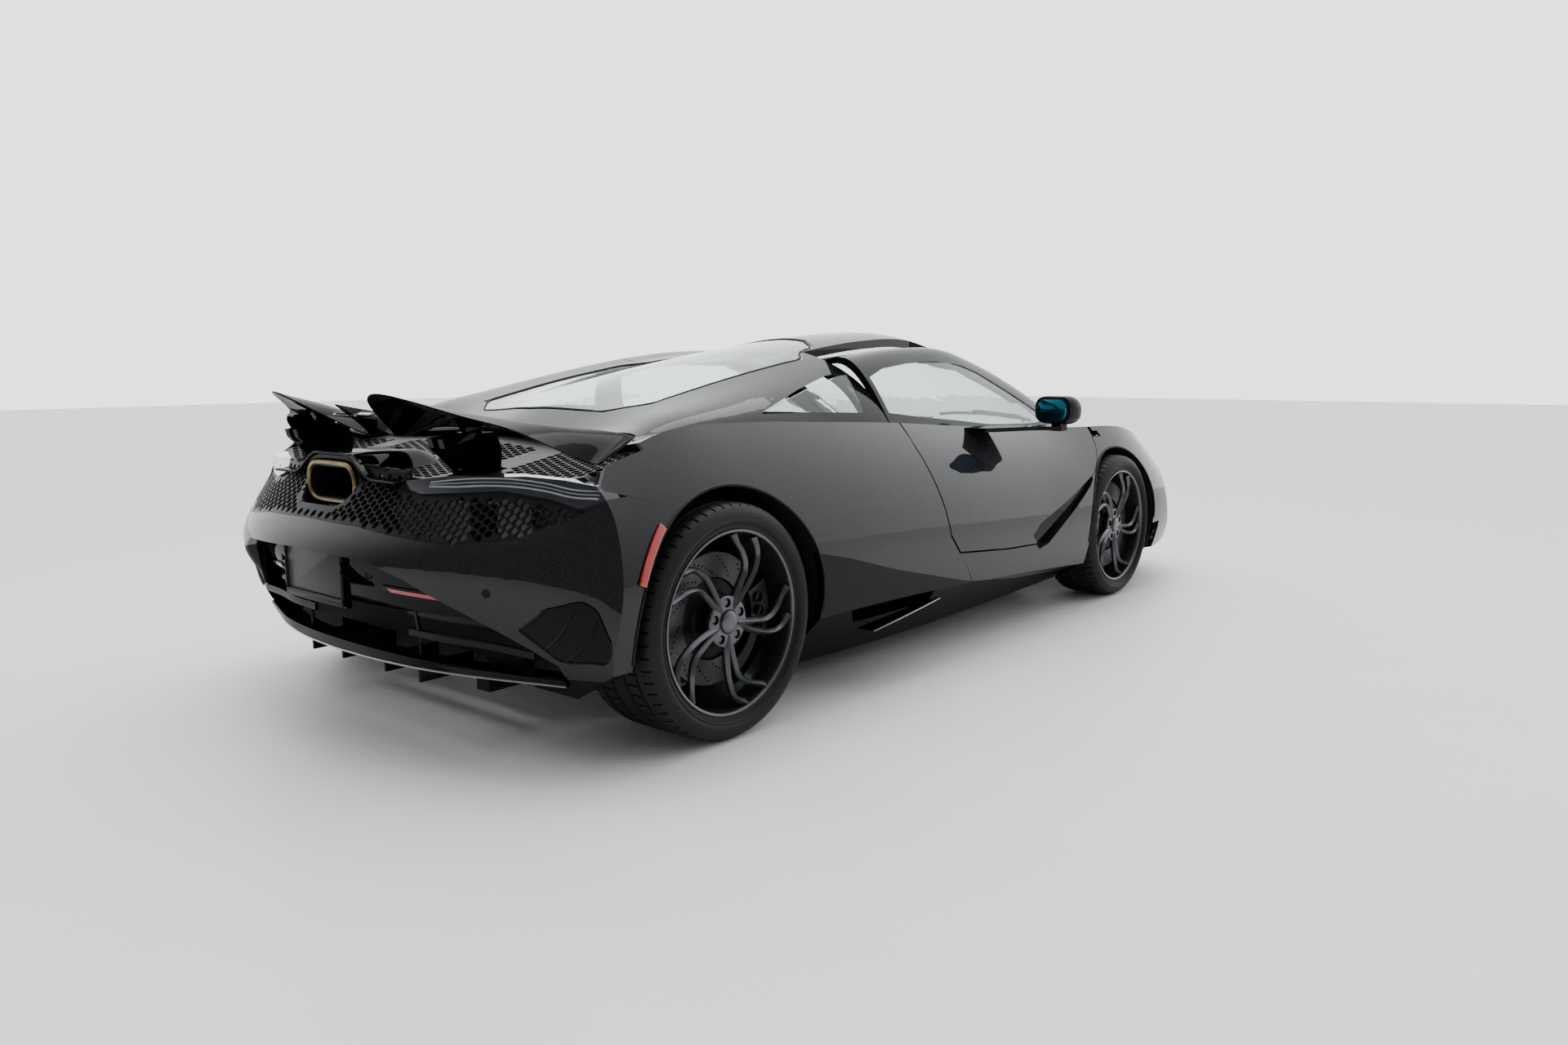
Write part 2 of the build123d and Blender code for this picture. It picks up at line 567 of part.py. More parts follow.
def rim(x, y, radius, width, rim_r, side):
    """Rim barrel, five pairs of swept spokes, hub with its bore, and the brake disc on the hub."""
    half = width / 2
    seat = rim_r - 8 - wheel_gap
    face = y + side * (half - face_inset)
    disc_in = y + side * disc_offset
    hub_out = face - side * hub_recess
    with BuildPart() as wheel:
        with BuildSketch(Plane((x, 0, radius))):
            with BuildLine():
                Polyline((seat, y - half + 18), (seat, y + half - 18), (rim_r - 12, y + half - 13),
                         (rim_r - 20, y + half - 13), (seat - 10, y + half - 26),
                         (seat - 10, y - half + 26), (rim_r - 20, y - half + 13),
                         (rim_r - 12, y - half + 13), close=True)
            make_face()
        revolve(axis=Axis((x, 0, radius), (0, 1, 0)))
        for k in range(spoke_pairs):
            for bar in (inner_bar, outer_bar):
                spoke(x, radius, seat - 6, first_pair + 360 / spoke_pairs * k, bar, face, spoke_depth * side)
        disc_between(x, radius, hub_r, disc_in, hub_out)
        disc_between(x, radius, disc_r, disc_in, disc_in + side * disc_t)
        disc_between(x, radius, hub_bore_r, disc_in - side * 10, hub_out - side * hub_cap_t, mode=Mode.SUBTRACT)
    return wheel.part


def spoke(x, z, reach, angle, bar, y, depth):
    """One swept bar of a pair of spokes, inside the open part."""
    def at(share, turn, side):
        r = share * reach
        a = radians(angle + turn) + side * spoke_half_w / r
        return (x + r * cos(a), z + r * sin(a))

    one_side = [at(share, turn, -1) for share, turn in bar]
    other_side = [at(share, turn, 1) for share, turn in reversed(bar)]
    with BuildSketch(Plane.XZ.offset(-y)) as outline:
        with BuildLine():
            Spline(*one_side)
            Line(one_side[-1], other_side[0])
            Spline(*other_side)
            Line(other_side[-1], one_side[0])
        make_face()
    extrude(outline.sketch, amount=depth)


# ---- knuckles, carriers and suspension ----
spindle_r = hub_bore_r - shaft_fit
ball_r = 10.0
ball_reach = 168.0
eye_r = 22.0
kingpin_offset = -12.0
rail_w = 60.0
rail_out_y = 425.0
arm_t = 22.0


def knuckle(x, y, radius, width, side, caliper_end):
    """Upright with its spindle, two ball eyes and the brake caliper, for one wheel."""
    spindle_end = y + side * (width / 2 - face_inset - hub_recess - hub_cap_t - 2)
    inner = y + side * (kingpin_offset - eye_r)
    outer = y + side * 10
    y0, y1 = sorted((inner, outer))
    c0, c1 = sorted((y + side * 2, y + side * (disc_offset + disc_t + 20)))
    d0, d1 = sorted((y + side * (disc_offset - 3), y + side * (disc_offset + disc_t + 3)))
    with BuildPart() as upright:
        with Locations((x, (y0 + y1) / 2, radius)):
            Box(2 * eye_r, y1 - y0, 2 * ball_reach + 30)
            Box(150, y1 - y0, 130)
        disc_between(x, radius, spindle_r, outer, spindle_end)
        with Locations((x + caliper_end * 150, (y0 + y1) / 2, radius)):
            Box(160, y1 - y0, 60)
        with BuildSketch(Plane.XZ.offset(-c1)):
            with BuildLine():
                CenterArc((x, radius), 224, 90 - 90 * caliper_end - 24, 48)
                CenterArc((x, radius), 148, 90 - 90 * caliper_end - 24, 48)
                for turn in (-24, 24):
                    a = radians(90 - 90 * caliper_end + turn)
                    Line((x + 148 * cos(a), radius + 148 * sin(a)), (x + 224 * cos(a), radius + 224 * sin(a)))
            make_face()
        extrude(amount=c1 - c0)
        disc_between(x, radius, disc_r + 5, d0, d1, mode=Mode.SUBTRACT)
        disc_between(x, radius, spindle_r, outer, spindle_end)
        with Locations((x, y + side * kingpin_offset, radius)):
            Cylinder(ball_r + shaft_fit, 2 * ball_reach + 60, mode=Mode.SUBTRACT)
        disc_between(x, radius, spindle_r, y0 + 4, y1)
    return upright.part


def arms(x, y, radius, side, pivot_y):
    """Upper and lower wishbones of one corner, each with its ball pin and its carrier on the frame."""
    kingpin_y = y + side * kingpin_offset
    with BuildPart() as pair:
        for level in (-1, 1):
            z_arm = radius + level * (ball_reach + 15 + fit + arm_t / 2)
            with BuildSketch(Plane.XY.offset(z_arm - arm_t / 2)):
                with BuildLine():
                    Polyline((x - 20, kingpin_y + side * 20), (x + 20, kingpin_y + side * 20),
                             (x + 26, y - side * 215), (x + 150, pivot_y), (x + 110, pivot_y),
                             (x, y - side * 240), (x - 110, pivot_y), (x - 150, pivot_y),
                             (x - 26, y - side * 215), close=True)
                make_face()
            extrude(amount=arm_t)
            with Locations((x, kingpin_y, radius + level * (ball_reach + 15 + fit - 20))):
                Cylinder(ball_r, 40 + 2 * fit)
        with Locations((x, (pivot_y + rail_out_y + fit) / 2, radius)):
            Box(320, pivot_y - rail_out_y - fit, 2 * (ball_reach + 15 + fit + arm_t))
    return pair.part


rear_mid_y = rear_track / 2
front_mid_y = front_track / 2
pivot_y = 470.0
wheel_sizes = {
    "front": (front_axle_x, front_mid_y, front_tyre_r, front_tyre_w, front_rim_r),
    "rear": (rear_axle_x, rear_mid_y, rear_tyre_r, rear_tyre_w, rear_rim_r),
}
for end, (axle_x, mid_y, radius, width, rim_r) in wheel_sizes.items():
    wheel_l = rim(axle_x, mid_y, radius, width, rim_r, 1)
    tyre_l = tyre(axle_x, mid_y, radius, width, rim_r)
    save(wheel_l, f"rim_{end}_left")
    save(right_of(wheel_l), f"rim_{end}_right")
    save(tyre_l, f"tyre_{end}_left")
    save(right_of(tyre_l), f"tyre_{end}_right")
knuckle_l = knuckle(front_axle_x, front_mid_y, front_tyre_r, front_tyre_w, 1, -1)
save(knuckle_l, "knuckle_front_left")
save(right_of(knuckle_l), "knuckle_front_right")
rear_knuckle_l = knuckle(rear_axle_x, rear_mid_y, rear_tyre_r, rear_tyre_w, 1, 1)
save(rear_knuckle_l + right_of(rear_knuckle_l), "rear_knuckles")
front_arms_l = arms(front_axle_x, front_mid_y, front_tyre_r, 1, pivot_y)
save(front_arms_l + right_of(front_arms_l), "front_suspension")
rear_arms_l = arms(rear_axle_x, rear_mid_y, rear_tyre_r, 1, pivot_y)
save(rear_arms_l + right_of(rear_arms_l), "rear_suspension")

# ---- wing on its pylons ----
# sections of the left half: y, leading edge (x, z), trailing edge (x, z), thickness
wing_sections = [(0, (-1905, 900), (-2122, 967), 26), (200, (-1902, 900), (-2128, 968), 26),
                 (264, (-1890, 902), (-2164, 999), 24), (400, (-1855, 905), (-2083, 970), 24),
                 (555, (-1800, 905), (-1985, 922), 21), (700, (-1742, 900), (-1905, 864), 15),
                 (814, (-1708, 884), (-1829, 824), 7)]
pylon_y = 400.0
pylon_w = 38.0
strut_x = -1912.0
strut_r = 12.0
strut_room = 5.0
wing_hinge = (-1935.0, 872.0)
wing_pin_r = 9.0
wing_lug_r = 17.0
wing_lug_w = 24.0


def wing_half():
    with BuildPart() as half:
        for y, lead, trail, thick in wing_sections:
            chord = sqrt((lead[0] - trail[0])**2 + (lead[1] - trail[1])**2)
            along = ((trail[0] - lead[0]) / chord, (trail[1] - lead[1]) / chord)
            up = (along[1], -along[0])

            def at(share, lift):
                return (lead[0] + along[0] * share * chord + up[0] * lift,
                        lead[1] + along[1] * share * chord + up[1] * lift)

            with BuildSketch(Plane.XZ.offset(-y)):
                with BuildLine():
                    Spline(at(1, 2), at(0.6, thick * 0.42), at(0.25, thick * 0.5), at(0, 0),
                           at(0.25, -thick * 0.5), at(0.6, -thick * 0.5), at(1, -2))
                    Line(at(1, -2), at(1, 2))
                make_face()
        loft()
    return half.part


wing_l = wing_half()
wing_skin = wing_l + right_of(wing_l)


def bar_across(x, z, radius, y0, y1):
    return lateral_cylinder(x, z, radius, y0, y1)


hx, hz = wing_hinge
lug_l = bar_across(hx, hz, wing_lug_r, pylon_y - wing_lug_w / 2, pylon_y + wing_lug_w / 2)
lug_l = lug_l + (side_prism(pylon_y - wing_lug_w / 2, pylon_y + wing_lug_w / 2, (hx - wing_lug_r, hz),
                            (hx + wing_lug_r, hz), (hx + 25, hz + 60), (hx - 60, hz + 70)))
lug_l = lug_l - bar_across(hx, hz, wing_pin_r + shaft_fit, 0, 600)
wing_box = side_prism(0, 900, (hx - 100, hz - 60), (hx + 60, hz - 60), (hx + 60, 912), (hx - 100, 927))
lug_l = lug_l & side_prism(0, 900, (hx - 200, hz - 60), (hx + 100, hz - 60), (hx + 100, 914), (hx - 200, 950))
wing = wing_skin + lug_l + right_of(lug_l)
pylon_side = side_prism(pylon_y - pylon_w, pylon_y + pylon_w, (-1862, 700), (-1875, 776), (-1870, 840), (-1885, 893),
                        (-1965, 893), (-2060, 880), (-2053, 855), (-1985, 790), (-1960, 700))
slot = block(-2100, -1700, pylon_y - wing_lug_w / 2 - 2, pylon_y + wing_lug_w / 2 + 2, hz - wing_lug_r - 14, 1000)
pylon_l = (pylon_side - slot) + lateral_cylinder(hx, hz, wing_pin_r, pylon_y - pylon_w + 4, pylon_y + pylon_w - 4)
with BuildPart() as strut_l:
    with Locations((strut_x, pylon_y, 650)):
        Cylinder(strut_r, 120)
with BuildPart() as strut_guide_l:
    with Locations((strut_x, pylon_y, 418)):
        Box(54, 54, 536)
    with Locations((strut_x + 60, pylon_y, 190)):
        Box(174, 60, 80)
    with Locations((strut_x, pylon_y, 636)):
        Cylinder(strut_r + shaft_fit, 100, mode=Mode.SUBTRACT)
pylon_l = pylon_l + strut_l.part
pylon_room = side_prism(pylon_y - pylon_w - strut_room, pylon_y + pylon_w + strut_room, (-1852, 600), (-1852, 1000),
                        (-2075, 1000), (-2075, 870), (-2005, 785), (-1975, 700), (-1975, 600))
pylon_room = pylon_room + right_of(pylon_room)
save(wing, "wing")
save(pylon_l + right_of(pylon_l), "wing_pylons")

# ---- mirrors ----
with BuildPart() as mirror_head:
    with BuildSketch(Plane.YZ.offset(355)):
        with Locations((1010, 893)):
            RectangleRounded(150, 104, 38)
    with BuildSketch(Plane.YZ.offset(420)):
        with Locations((1012, 890)):
            RectangleRounded(158, 112, 42)
    with BuildSketch(Plane.YZ.offset(520)):
        with Locations((1008, 885)):
            RectangleRounded(90, 60, 28)
    loft()
with BuildPart() as mirror_arm:
    with BuildSketch(Plane.XY.offset(810)):
        with BuildLine():
            Polyline((440, 1030), (400, 1030), (330, 950), (90, 860), (80, 740), (230, 740), (480, 930), close=True)
        make_face()
    extrude(amount=16)
    with Locations((430, 1005, 826)):
        Box(60, 40, 40)
mirror_arm_l = mirror_arm.part - lower_body()
mirror_l = mirror_head.part + mirror_arm_l
save(mirror_l, "mirror_left")
save(right_of(mirror_l), "mirror_right")

# ---- tub, engine and cabin fittings ----


def plan_ring(x, y, radius):
    """Upright drum that a steered front wheel sweeps."""
    with BuildPart() as drum:
        with Locations((x, y, 362)):
            Cylinder(radius, 604)
    return drum.part



floor_t = 25.0
floor_top = 150.0
rail_mid_y = rail_out_y - rail_w / 2
rail_h = 80.0
with BuildPart() as tub:
    with Locations((60, 0, floor_top - floor_t / 2)):
        Box(1840, 1380, floor_t)
    for side in (-1, 1):
        with Locations((-110, side * 690, floor_top + 90)):
            Box(1740, 160, 180)
        with Locations((-1330, side * rail_mid_y, floor_top + rail_h / 2)):
            Box(940, rail_w, rail_h)
        with Locations((1440, side * rail_mid_y, floor_top + rail_h / 2)):
            Box(920, rail_w, rail_h)
        with Locations((1132, side * 660, 696)):
            Box(44, 360, 24)
    with Locations((-840, 0, 480)):
        Box(40, 1240, 660)
    with Locations((960, 0, 430)):
        Box(40, 1000, 560)
    with Locations((-1785, 0, floor_top + rail_h / 2)):
        Box(40, 2 * rail_out_y, rail_h)
    with Locations((1900, 0, 230)):
        Box(40, 2 * rail_out_y, 160)
    with Locations((1100, 0, 690)):
        Box(240, 1000, 40)
tub = tub.part + door_pin_l + right_of(door_pin_l) + bonnet_pin_l + right_of(bonnet_pin_l)
tub = tub + bonnet_post_l + right_of(bonnet_post_l) + strut_guide_l.part + right_of(strut_guide_l.part)
steer_room_l = plan_ring(front_axle_x, front_mid_y + kingpin_offset, 362)
tub = tub - steer_room_l - right_of(steer_room_l)
liner_t = 4.0


def liner(x, z, radius):
    """Inner lining of one wheel well, with a window for the wishbones."""
    room = well(x, z, radius)
    outer = lateral_cylinder(x, z, radius + liner_t, well_inner_y - liner_t, 1100)
    outer = (outer + block(x - radius - liner_t, x + radius + liner_t, well_inner_y - liner_t, 1100, 150, z)) - room
    outer = outer - block(x - 400, x + 400, 0, 1200, 0, 150)
    return outer - block(x - 165, x + 165, 500, 560, z - 235, z + 235)


liners_l = (liner(front_axle_x, front_tyre_r, front_well_r) + liner(rear_axle_x, rear_tyre_r, rear_well_r))
liners_l = (liners_l & hull_in(skin + fit)) - door_room - front_fender_l - channel_l - side_skirt_l - rear_quarter_l
liners_l = liners_l - rear_bumper - diffuser - cabin_in
liners_l = liners_l - tub
engine_half_w = rail_out_y - rail_w - fit
save(tub, "tub")
save(liners_l + right_of(liners_l), "wheel_liners")
save(block(-1720, -900, -engine_half_w, engine_half_w, 170, 690), "engine")


def bucket_seat(y):
    with BuildPart() as seat:
        with BuildSketch(Plane.XZ.offset(-(y + 215))):
            with BuildLine():
                Polyline((-20, floor_top + fit), (-30, 290), (-430, 270), (-690, 880), (-745, 870), (-560, 240),
                         (-520, floor_top + fit), close=True)
            make_face()
        extrude(amount=430)
        fillet(seat.edges().filter_by(Axis.Y).group_by(Axis.Z)[-1], 20)
    return seat.part


save(bucket_seat(350) + bucket_seat(-350), "seats")
with BuildPart() as dashboard:
    with BuildSketch(Plane.XZ.offset(-520)):
        with BuildLine():
            Polyline((960 - 20 - fit, 560), (960 - 20 - fit, 640), (900, 730), (600, 715), (560, 660), (600, 560), close=True)
        make_face()
    extrude(amount=1040)
save(dashboard.part, "dashboard")
with BuildPart() as steering:
    column = Plane(origin=(470, 350, 640), z_dir=(-0.93, 0, 0.36))
    with BuildSketch(column.offset(-175)):
        Circle(28)
    extrude(amount=180)
    with BuildSketch(column.offset(-12)):
        Rectangle(60, 300)
        Rectangle(150, 70)
    extrude(amount=20)
    with BuildSketch(column.offset(-16)):
        RectangleRounded(330, 350, 150)
        RectangleRounded(278, 298, 124, mode=Mode.SUBTRACT)
    extrude(amount=30)
save(steering.part - dashboard.part, "steering_wheel")

save(door_l, "door_left")
save(right_of(door_l), "door_right")
save(door_glass_l, "door_glass_left")
save(right_of(door_glass_l), "door_glass_right")
save(bonnet_skin, "bonnet")
save(front_fender_l + right_of(front_fender_l), "front_fenders")
save(side_skirt_l + right_of(side_skirt_l) + channel_l + right_of(channel_l), "side_skirts")
save(rear_deck + rear_quarter_l + right_of(rear_quarter_l), "rear_clamshell")
save(front_bumper, "front_bumper")
save(front_grille, "front_grille")
save(headlamp_l + right_of(headlamp_l), "headlamps")
save(rear_bumper, "rear_bumper")
save(tail_lamp_l + right_of(tail_lamp_l), "tail_lamps")
save(exhaust.part, "exhaust_outlet")
save(rear_fascia, "rear_fascia_mesh")
save(deck_mesh - pylon_room, "deck_mesh")
save(diffuser, "diffuser")
save(frame, "roof_frame")
save(windscreen, "windscreen")
save(rear_glass, "rear_glass")
save(quarter_glass_l + right_of(quarter_glass_l), "quarter_glass")
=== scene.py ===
import bpy, math
from mathutils import Vector, Matrix


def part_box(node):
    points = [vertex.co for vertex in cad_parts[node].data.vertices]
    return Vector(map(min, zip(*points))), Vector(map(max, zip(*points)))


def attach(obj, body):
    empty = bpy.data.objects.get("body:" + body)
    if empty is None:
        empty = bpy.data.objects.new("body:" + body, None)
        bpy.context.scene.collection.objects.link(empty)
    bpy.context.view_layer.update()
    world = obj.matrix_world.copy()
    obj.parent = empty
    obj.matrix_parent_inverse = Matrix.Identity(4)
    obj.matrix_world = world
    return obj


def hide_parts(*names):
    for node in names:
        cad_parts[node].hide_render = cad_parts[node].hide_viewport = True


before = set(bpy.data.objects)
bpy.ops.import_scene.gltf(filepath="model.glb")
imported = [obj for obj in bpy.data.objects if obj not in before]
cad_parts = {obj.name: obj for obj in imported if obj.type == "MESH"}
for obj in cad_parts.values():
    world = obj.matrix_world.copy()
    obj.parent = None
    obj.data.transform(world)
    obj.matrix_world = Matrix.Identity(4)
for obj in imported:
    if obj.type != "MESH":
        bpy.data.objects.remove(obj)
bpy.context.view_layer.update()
print("cad nodes loaded:", len(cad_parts))


# small tools for selecting, naming and placing
def freshSelection():
    if bpy.context.object and bpy.context.object.mode != "OBJECT":
        bpy.ops.object.mode_set(mode="OBJECT")
    bpy.ops.object.select_all(action="DESELECT")


def pickOnly(piece):
    freshSelection()
    piece.select_set(True)
    bpy.context.view_layer.objects.active = piece


def named(name):
    piece = bpy.context.object
    piece.name = name
    piece.data.name = name
    return piece


def setPlace(piece):
    # the place goes into the mesh, the object stays at the origin
    pickOnly(piece)
    bpy.ops.object.transform_apply(location=True, rotation=True, scale=True)


def pickFaces(piece, test):
    # faces whose centre and normal pass the test, selected in edit mode
    bpy.ops.object.mode_set(mode="OBJECT")
    bpy.context.tool_settings.mesh_select_mode = (False, False, True)
    for item in list(piece.data.edges) + list(piece.data.vertices):
        item.select = False
    for poly in piece.data.polygons:
        poly.select = bool(test(poly.center, poly.normal))
    bpy.ops.object.mode_set(mode="EDIT")


def smooth(piece, angle=35):
    pickOnly(piece)
    bpy.ops.object.shade_smooth_by_angle(angle=math.radians(angle))


def applyAll(piece):
    pickOnly(piece)
    for mod in list(piece.modifiers):
        bpy.ops.object.modifier_apply(modifier=mod.name)


def dress(piece, material):
    piece.data.materials.clear()
    piece.data.materials.append(material)


# finishes: each has lighter and darker spots and, with bump, a fine grain
finishLook = {"spots": (40.0, 0.12), "spotDetail": 4.0, "spotEdges": (0.3, 0.7), "dotDetail": 3.0,
              "roughSpread": (0.85, 1.15)}


def colourRamp(nodes, places, dark, bright):
    ramp = nodes.new("ShaderNodeValToRGB")
    for stop, place, colour in zip(ramp.color_ramp.elements, places, (dark, bright)):
        stop.position = place
        stop.color = (*colour, 1)
    return ramp


def finish(name, colour, rough, metal=0.0, coat=0.0, coatRough=0.03, spec=0.5, grain=None, bump=None):
    # grain: (scale, amount) of the spots, bump: (scale, strength, distance)
    mat = bpy.data.materials.new(name)
    mat.use_nodes = True
    nodes, links = mat.node_tree.nodes, mat.node_tree.links
    shader = nodes["Principled BSDF"]
    shader.inputs["Metallic"].default_value = metal
    shader.inputs["Coat Weight"].default_value = coat
    shader.inputs["Coat Roughness"].default_value = coatRough
    shader.inputs["Specular IOR Level"].default_value = spec
    coords = nodes.new("ShaderNodeTexCoord")
    scale, amount = grain or finishLook["spots"]
    noise = nodes.new("ShaderNodeTexNoise")
    noise.inputs["Scale"].default_value = scale
    noise.inputs["Detail"].default_value = finishLook["spotDetail"]
    links.new(coords.outputs["Object"], noise.inputs["Vector"])
    dark = [c * (1 - amount) for c in colour]
    bright = [min(1.0, c * (1 + amount)) for c in colour]
    ramp = colourRamp(nodes, finishLook["spotEdges"], dark, bright)
    links.new(noise.outputs["Fac"], ramp.inputs["Fac"])
    links.new(ramp.outputs["Color"], shader.inputs["Base Color"])
    roughRange = nodes.new("ShaderNodeMapRange")
    roughRange.inputs["To Min"].default_value = rough * finishLook["roughSpread"][0]
    roughRange.inputs["To Max"].default_value = min(1.0, rough * finishLook["roughSpread"][1])
    links.new(noise.outputs["Fac"], roughRange.inputs["Value"])
    links.new(roughRange.outputs["Result"], shader.inputs["Roughness"])
    if bump:
        bumpScale, strength, distance = bump
        dots = nodes.new("ShaderNodeTexNoise")
        dots.inputs["Scale"].default_value = bumpScale
        dots.inputs["Detail"].default_value = finishLook["dotDetail"]
        links.new(coords.outputs["Object"], dots.inputs["Vector"])
        bumpNode = nodes.new("ShaderNodeBump")
        bumpNode.inputs["Strength"].default_value = strength
        bumpNode.inputs["Distance"].default_value = distance
        links.new(dots.outputs["Fac"], bumpNode.inputs["Height"])
        links.new(bumpNode.outputs["Normal"], shader.inputs["Normal"])
    return mat


paintLook = {"flakeScale": 1400.0, "flakeEdges": (0.72, 0.98),
             "flakeDark": (0.0045, 0.0042, 0.0055), "flakeBright": (0.036, 0.033, 0.040)}


def paintFinish():
    # black metallic base with fine bright flakes under a clear coat
    mat = finish("metallicPaint", (0.010, 0.0095, 0.0115), 0.34, metal=0.12, coat=0.70, coatRough=0.012,
                 spec=0.0)
    nodes, links = mat.node_tree.nodes, mat.node_tree.links
    flakes = nodes.new("ShaderNodeTexVoronoi")
    flakes.inputs["Scale"].default_value = paintLook["flakeScale"]
    links.new(nodes["Texture Coordinate"].outputs["Object"], flakes.inputs["Vector"])
    split = nodes.new("ShaderNodeSeparateColor")
    links.new(flakes.outputs["Color"], split.inputs["Color"])
    ramp = colourRamp(nodes, paintLook["flakeEdges"], paintLook["flakeDark"], paintLook["flakeBright"])
    links.new(split.outputs["Red"], ramp.inputs["Fac"])
    links.new(ramp.outputs["Color"], nodes["Principled BSDF"].inputs["Base Color"])
    return mat


def glassFinish(name, tint):
    mat = finish(name, tint, 0.02, grain=(3.0, 0.02))
    links = mat.node_tree.links
    shader = mat.node_tree.nodes["Principled BSDF"]
    for link in list(links):
        if link.to_socket == shader.inputs["Roughness"]:
            links.remove(link)
    shader.inputs["Roughness"].default_value = 0.0
    shader.inputs["Transmission Weight"].default_value = 1.0
    shader.inputs["IOR"].default_value = 1.45
    return mat


paint = paintFinish()
glossBlack = finish("glossBlack", (0.0022, 0.0022, 0.0025), 0.14, coat=0.30, coatRough=0.02, spec=0.0)
darkCast = finish("darkCast", (0.012, 0.012, 0.013), 0.42, metal=0.3, bump=(300.0, 0.25, 0.0006))
satinBlack = finish("satinBlack", (0.010, 0.010, 0.011), 0.36, spec=0.09, bump=(900.0, 0.05, 0.0004))
matteBlack = finish("matteBlack", (0.007, 0.007, 0.007), 0.75, spec=0.15, bump=(500.0, 0.2, 0.0006))
rubber = finish("rubber", (0.010, 0.010, 0.0105), 0.60, spec=0.22, grain=(60.0, 0.2),
                bump=(700.0, 0.15, 0.0004))
wheelGrey = finish("wheelGrey", (0.085, 0.085, 0.090), 0.33, metal=0.85, coat=0.3, coatRough=0.15, spec=0.3,
                   bump=(1500.0, 0.04, 0.0002))
castAlloy = finish("castAlloy", (0.30, 0.30, 0.31), 0.45, metal=0.9, bump=(300.0, 0.25, 0.0006))
# steel colour darkened throughout to paint the shade and dark reflections round the brake disc; the plate
# screws share it
shadeDarkSteel = finish("shadeDarkSteel", (0.055, 0.055, 0.058), 0.42, metal=0.8, grain=(90.0, 0.2),
                   bump=(240.0, 0.1, 0.0003))
bronze = finish("bronze", (0.17, 0.12, 0.058), 0.30, metal=1.0, grain=(25.0, 0.25), bump=(500.0, 0.05, 0.0002))
soot = finish("soot", (0.010, 0.009, 0.008), 0.85, spec=0.2, grain=(60.0, 0.4), bump=(400.0, 0.3, 0.0006))
lampGuide = finish("lampGuide", (0.20, 0.215, 0.25), 0.25, coat=0.5, grain=(30.0, 0.1),
                   bump=(400.0, 0.03, 0.0002))
smokedLens = finish("smokedLens", (0.012, 0.013, 0.016), 0.12, coat=0.9, coatRough=0.01, spec=0.3,
                    grain=(30.0, 0.2), bump=(90.0, 0.02, 0.0004))
brightEdge = finish("brightEdge", (0.30, 0.30, 0.31), 0.22, metal=0.9, coat=0.4, grain=(30.0, 0.1),
                    bump=(700.0, 0.03, 0.0002))
mirrorBlue = finish("mirrorBlue", (0.045, 0.30, 0.42), 0.03, metal=1.0, grain=(6.0, 0.15))
plateGrey = finish("plateGrey", (0.014, 0.014, 0.015), 0.40, coat=0.12, coatRough=0.15, spec=0.1,
                   grain=(20.0, 0.08), bump=(300.0, 0.04, 0.0003))
redLens = finish("redLens", (0.36, 0.012, 0.014), 0.16, coat=0.8, coatRough=0.03, grain=(500.0, 0.18),
                 bump=(600.0, 0.08, 0.0004))
trimSuede = finish("trimSuede", (0.014, 0.0138, 0.0138), 0.85, spec=0.2, grain=(140.0, 0.35),
                   bump=(900.0, 0.35, 0.0007))
trimLeather = finish("trimLeather", (0.022, 0.021, 0.021), 0.55, bump=(260.0, 0.35, 0.0008))
windowGlass = glassFinish("windowGlass", (0.80, 0.91, 0.87))

nodeFinish = {
    paint: ["door_left", "door_right", "bonnet", "front_fenders", "rear_clamshell", "front_bumper",
            "rear_bumper", "roof_frame"],
    glossBlack: ["side_skirts", "diffuser", "wing", "wing_pylons", "mirror_left", "mirror_right"],
    satinBlack: ["front_grille", "rear_fascia_mesh", "deck_mesh"],
    windowGlass: ["door_glass_left", "door_glass_right", "windscreen", "rear_glass", "quarter_glass"],
    smokedLens: ["headlamps", "tail_lamps"],
    castAlloy: ["engine"],
    darkCast: ["exhaust_outlet", "knuckle_front_left", "knuckle_front_right", "rear_knuckles",
               "front_suspension", "rear_suspension"],
    trimLeather: ["seats", "dashboard", "steering_wheel"],
    matteBlack: ["tub", "wheel_liners"],
    wheelGrey: ["rim_front_left", "rim_front_right", "rim_rear_left", "rim_rear_right"],
    rubber: ["tyre_front_left", "tyre_front_right", "tyre_rear_left", "tyre_rear_right"],
}
for material, nodeNames in nodeFinish.items():
    for nodeName in nodeNames:
        dress(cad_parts[nodeName], material)
print("finishes on the frame")


# drawing helpers
def drawLine(points):
    # one vertex pulled along the points, left open in edit mode
    freshSelection()
    bpy.ops.mesh.primitive_plane_add(size=0.01, location=points[0])
    bpy.ops.object.mode_set(mode="EDIT")
    bpy.ops.mesh.select_mode(type="VERT")
    bpy.ops.mesh.select_all(action="SELECT")
    bpy.ops.mesh.merge(type="CENTER")
    last = Vector(points[0])
    for point in points[1:]:
        bpy.ops.mesh.extrude_vertices_move(TRANSFORM_OT_translate={"value": Vector(point) - last})
        last = Vector(point)
    bpy.ops.mesh.select_all(action="SELECT")


def tidyMesh():
    bpy.ops.mesh.select_all(action="SELECT")
    bpy.ops.mesh.remove_doubles(threshold=0.00002)
    bpy.ops.mesh.normals_make_consistent(inside=False)
    bpy.ops.object.mode_set(mode="OBJECT")


def turned(name, outline, steps, angle=360.0, closed=True):
    # outline: (radius, height) pairs spun round the z axis
    drawLine([(r, 0.0, h) for r, h in (outline + outline[:1] if closed else outline)])
    bpy.ops.mesh.remove_doubles(threshold=0.00002)
    bpy.ops.mesh.select_all(action="SELECT")
    bpy.ops.mesh.spin(steps=steps, angle=math.radians(angle), center=(0, 0, 0), axis=(0, 0, 1))
    tidyMesh()
    piece = named(name)
    setPlace(piece)
    return piece


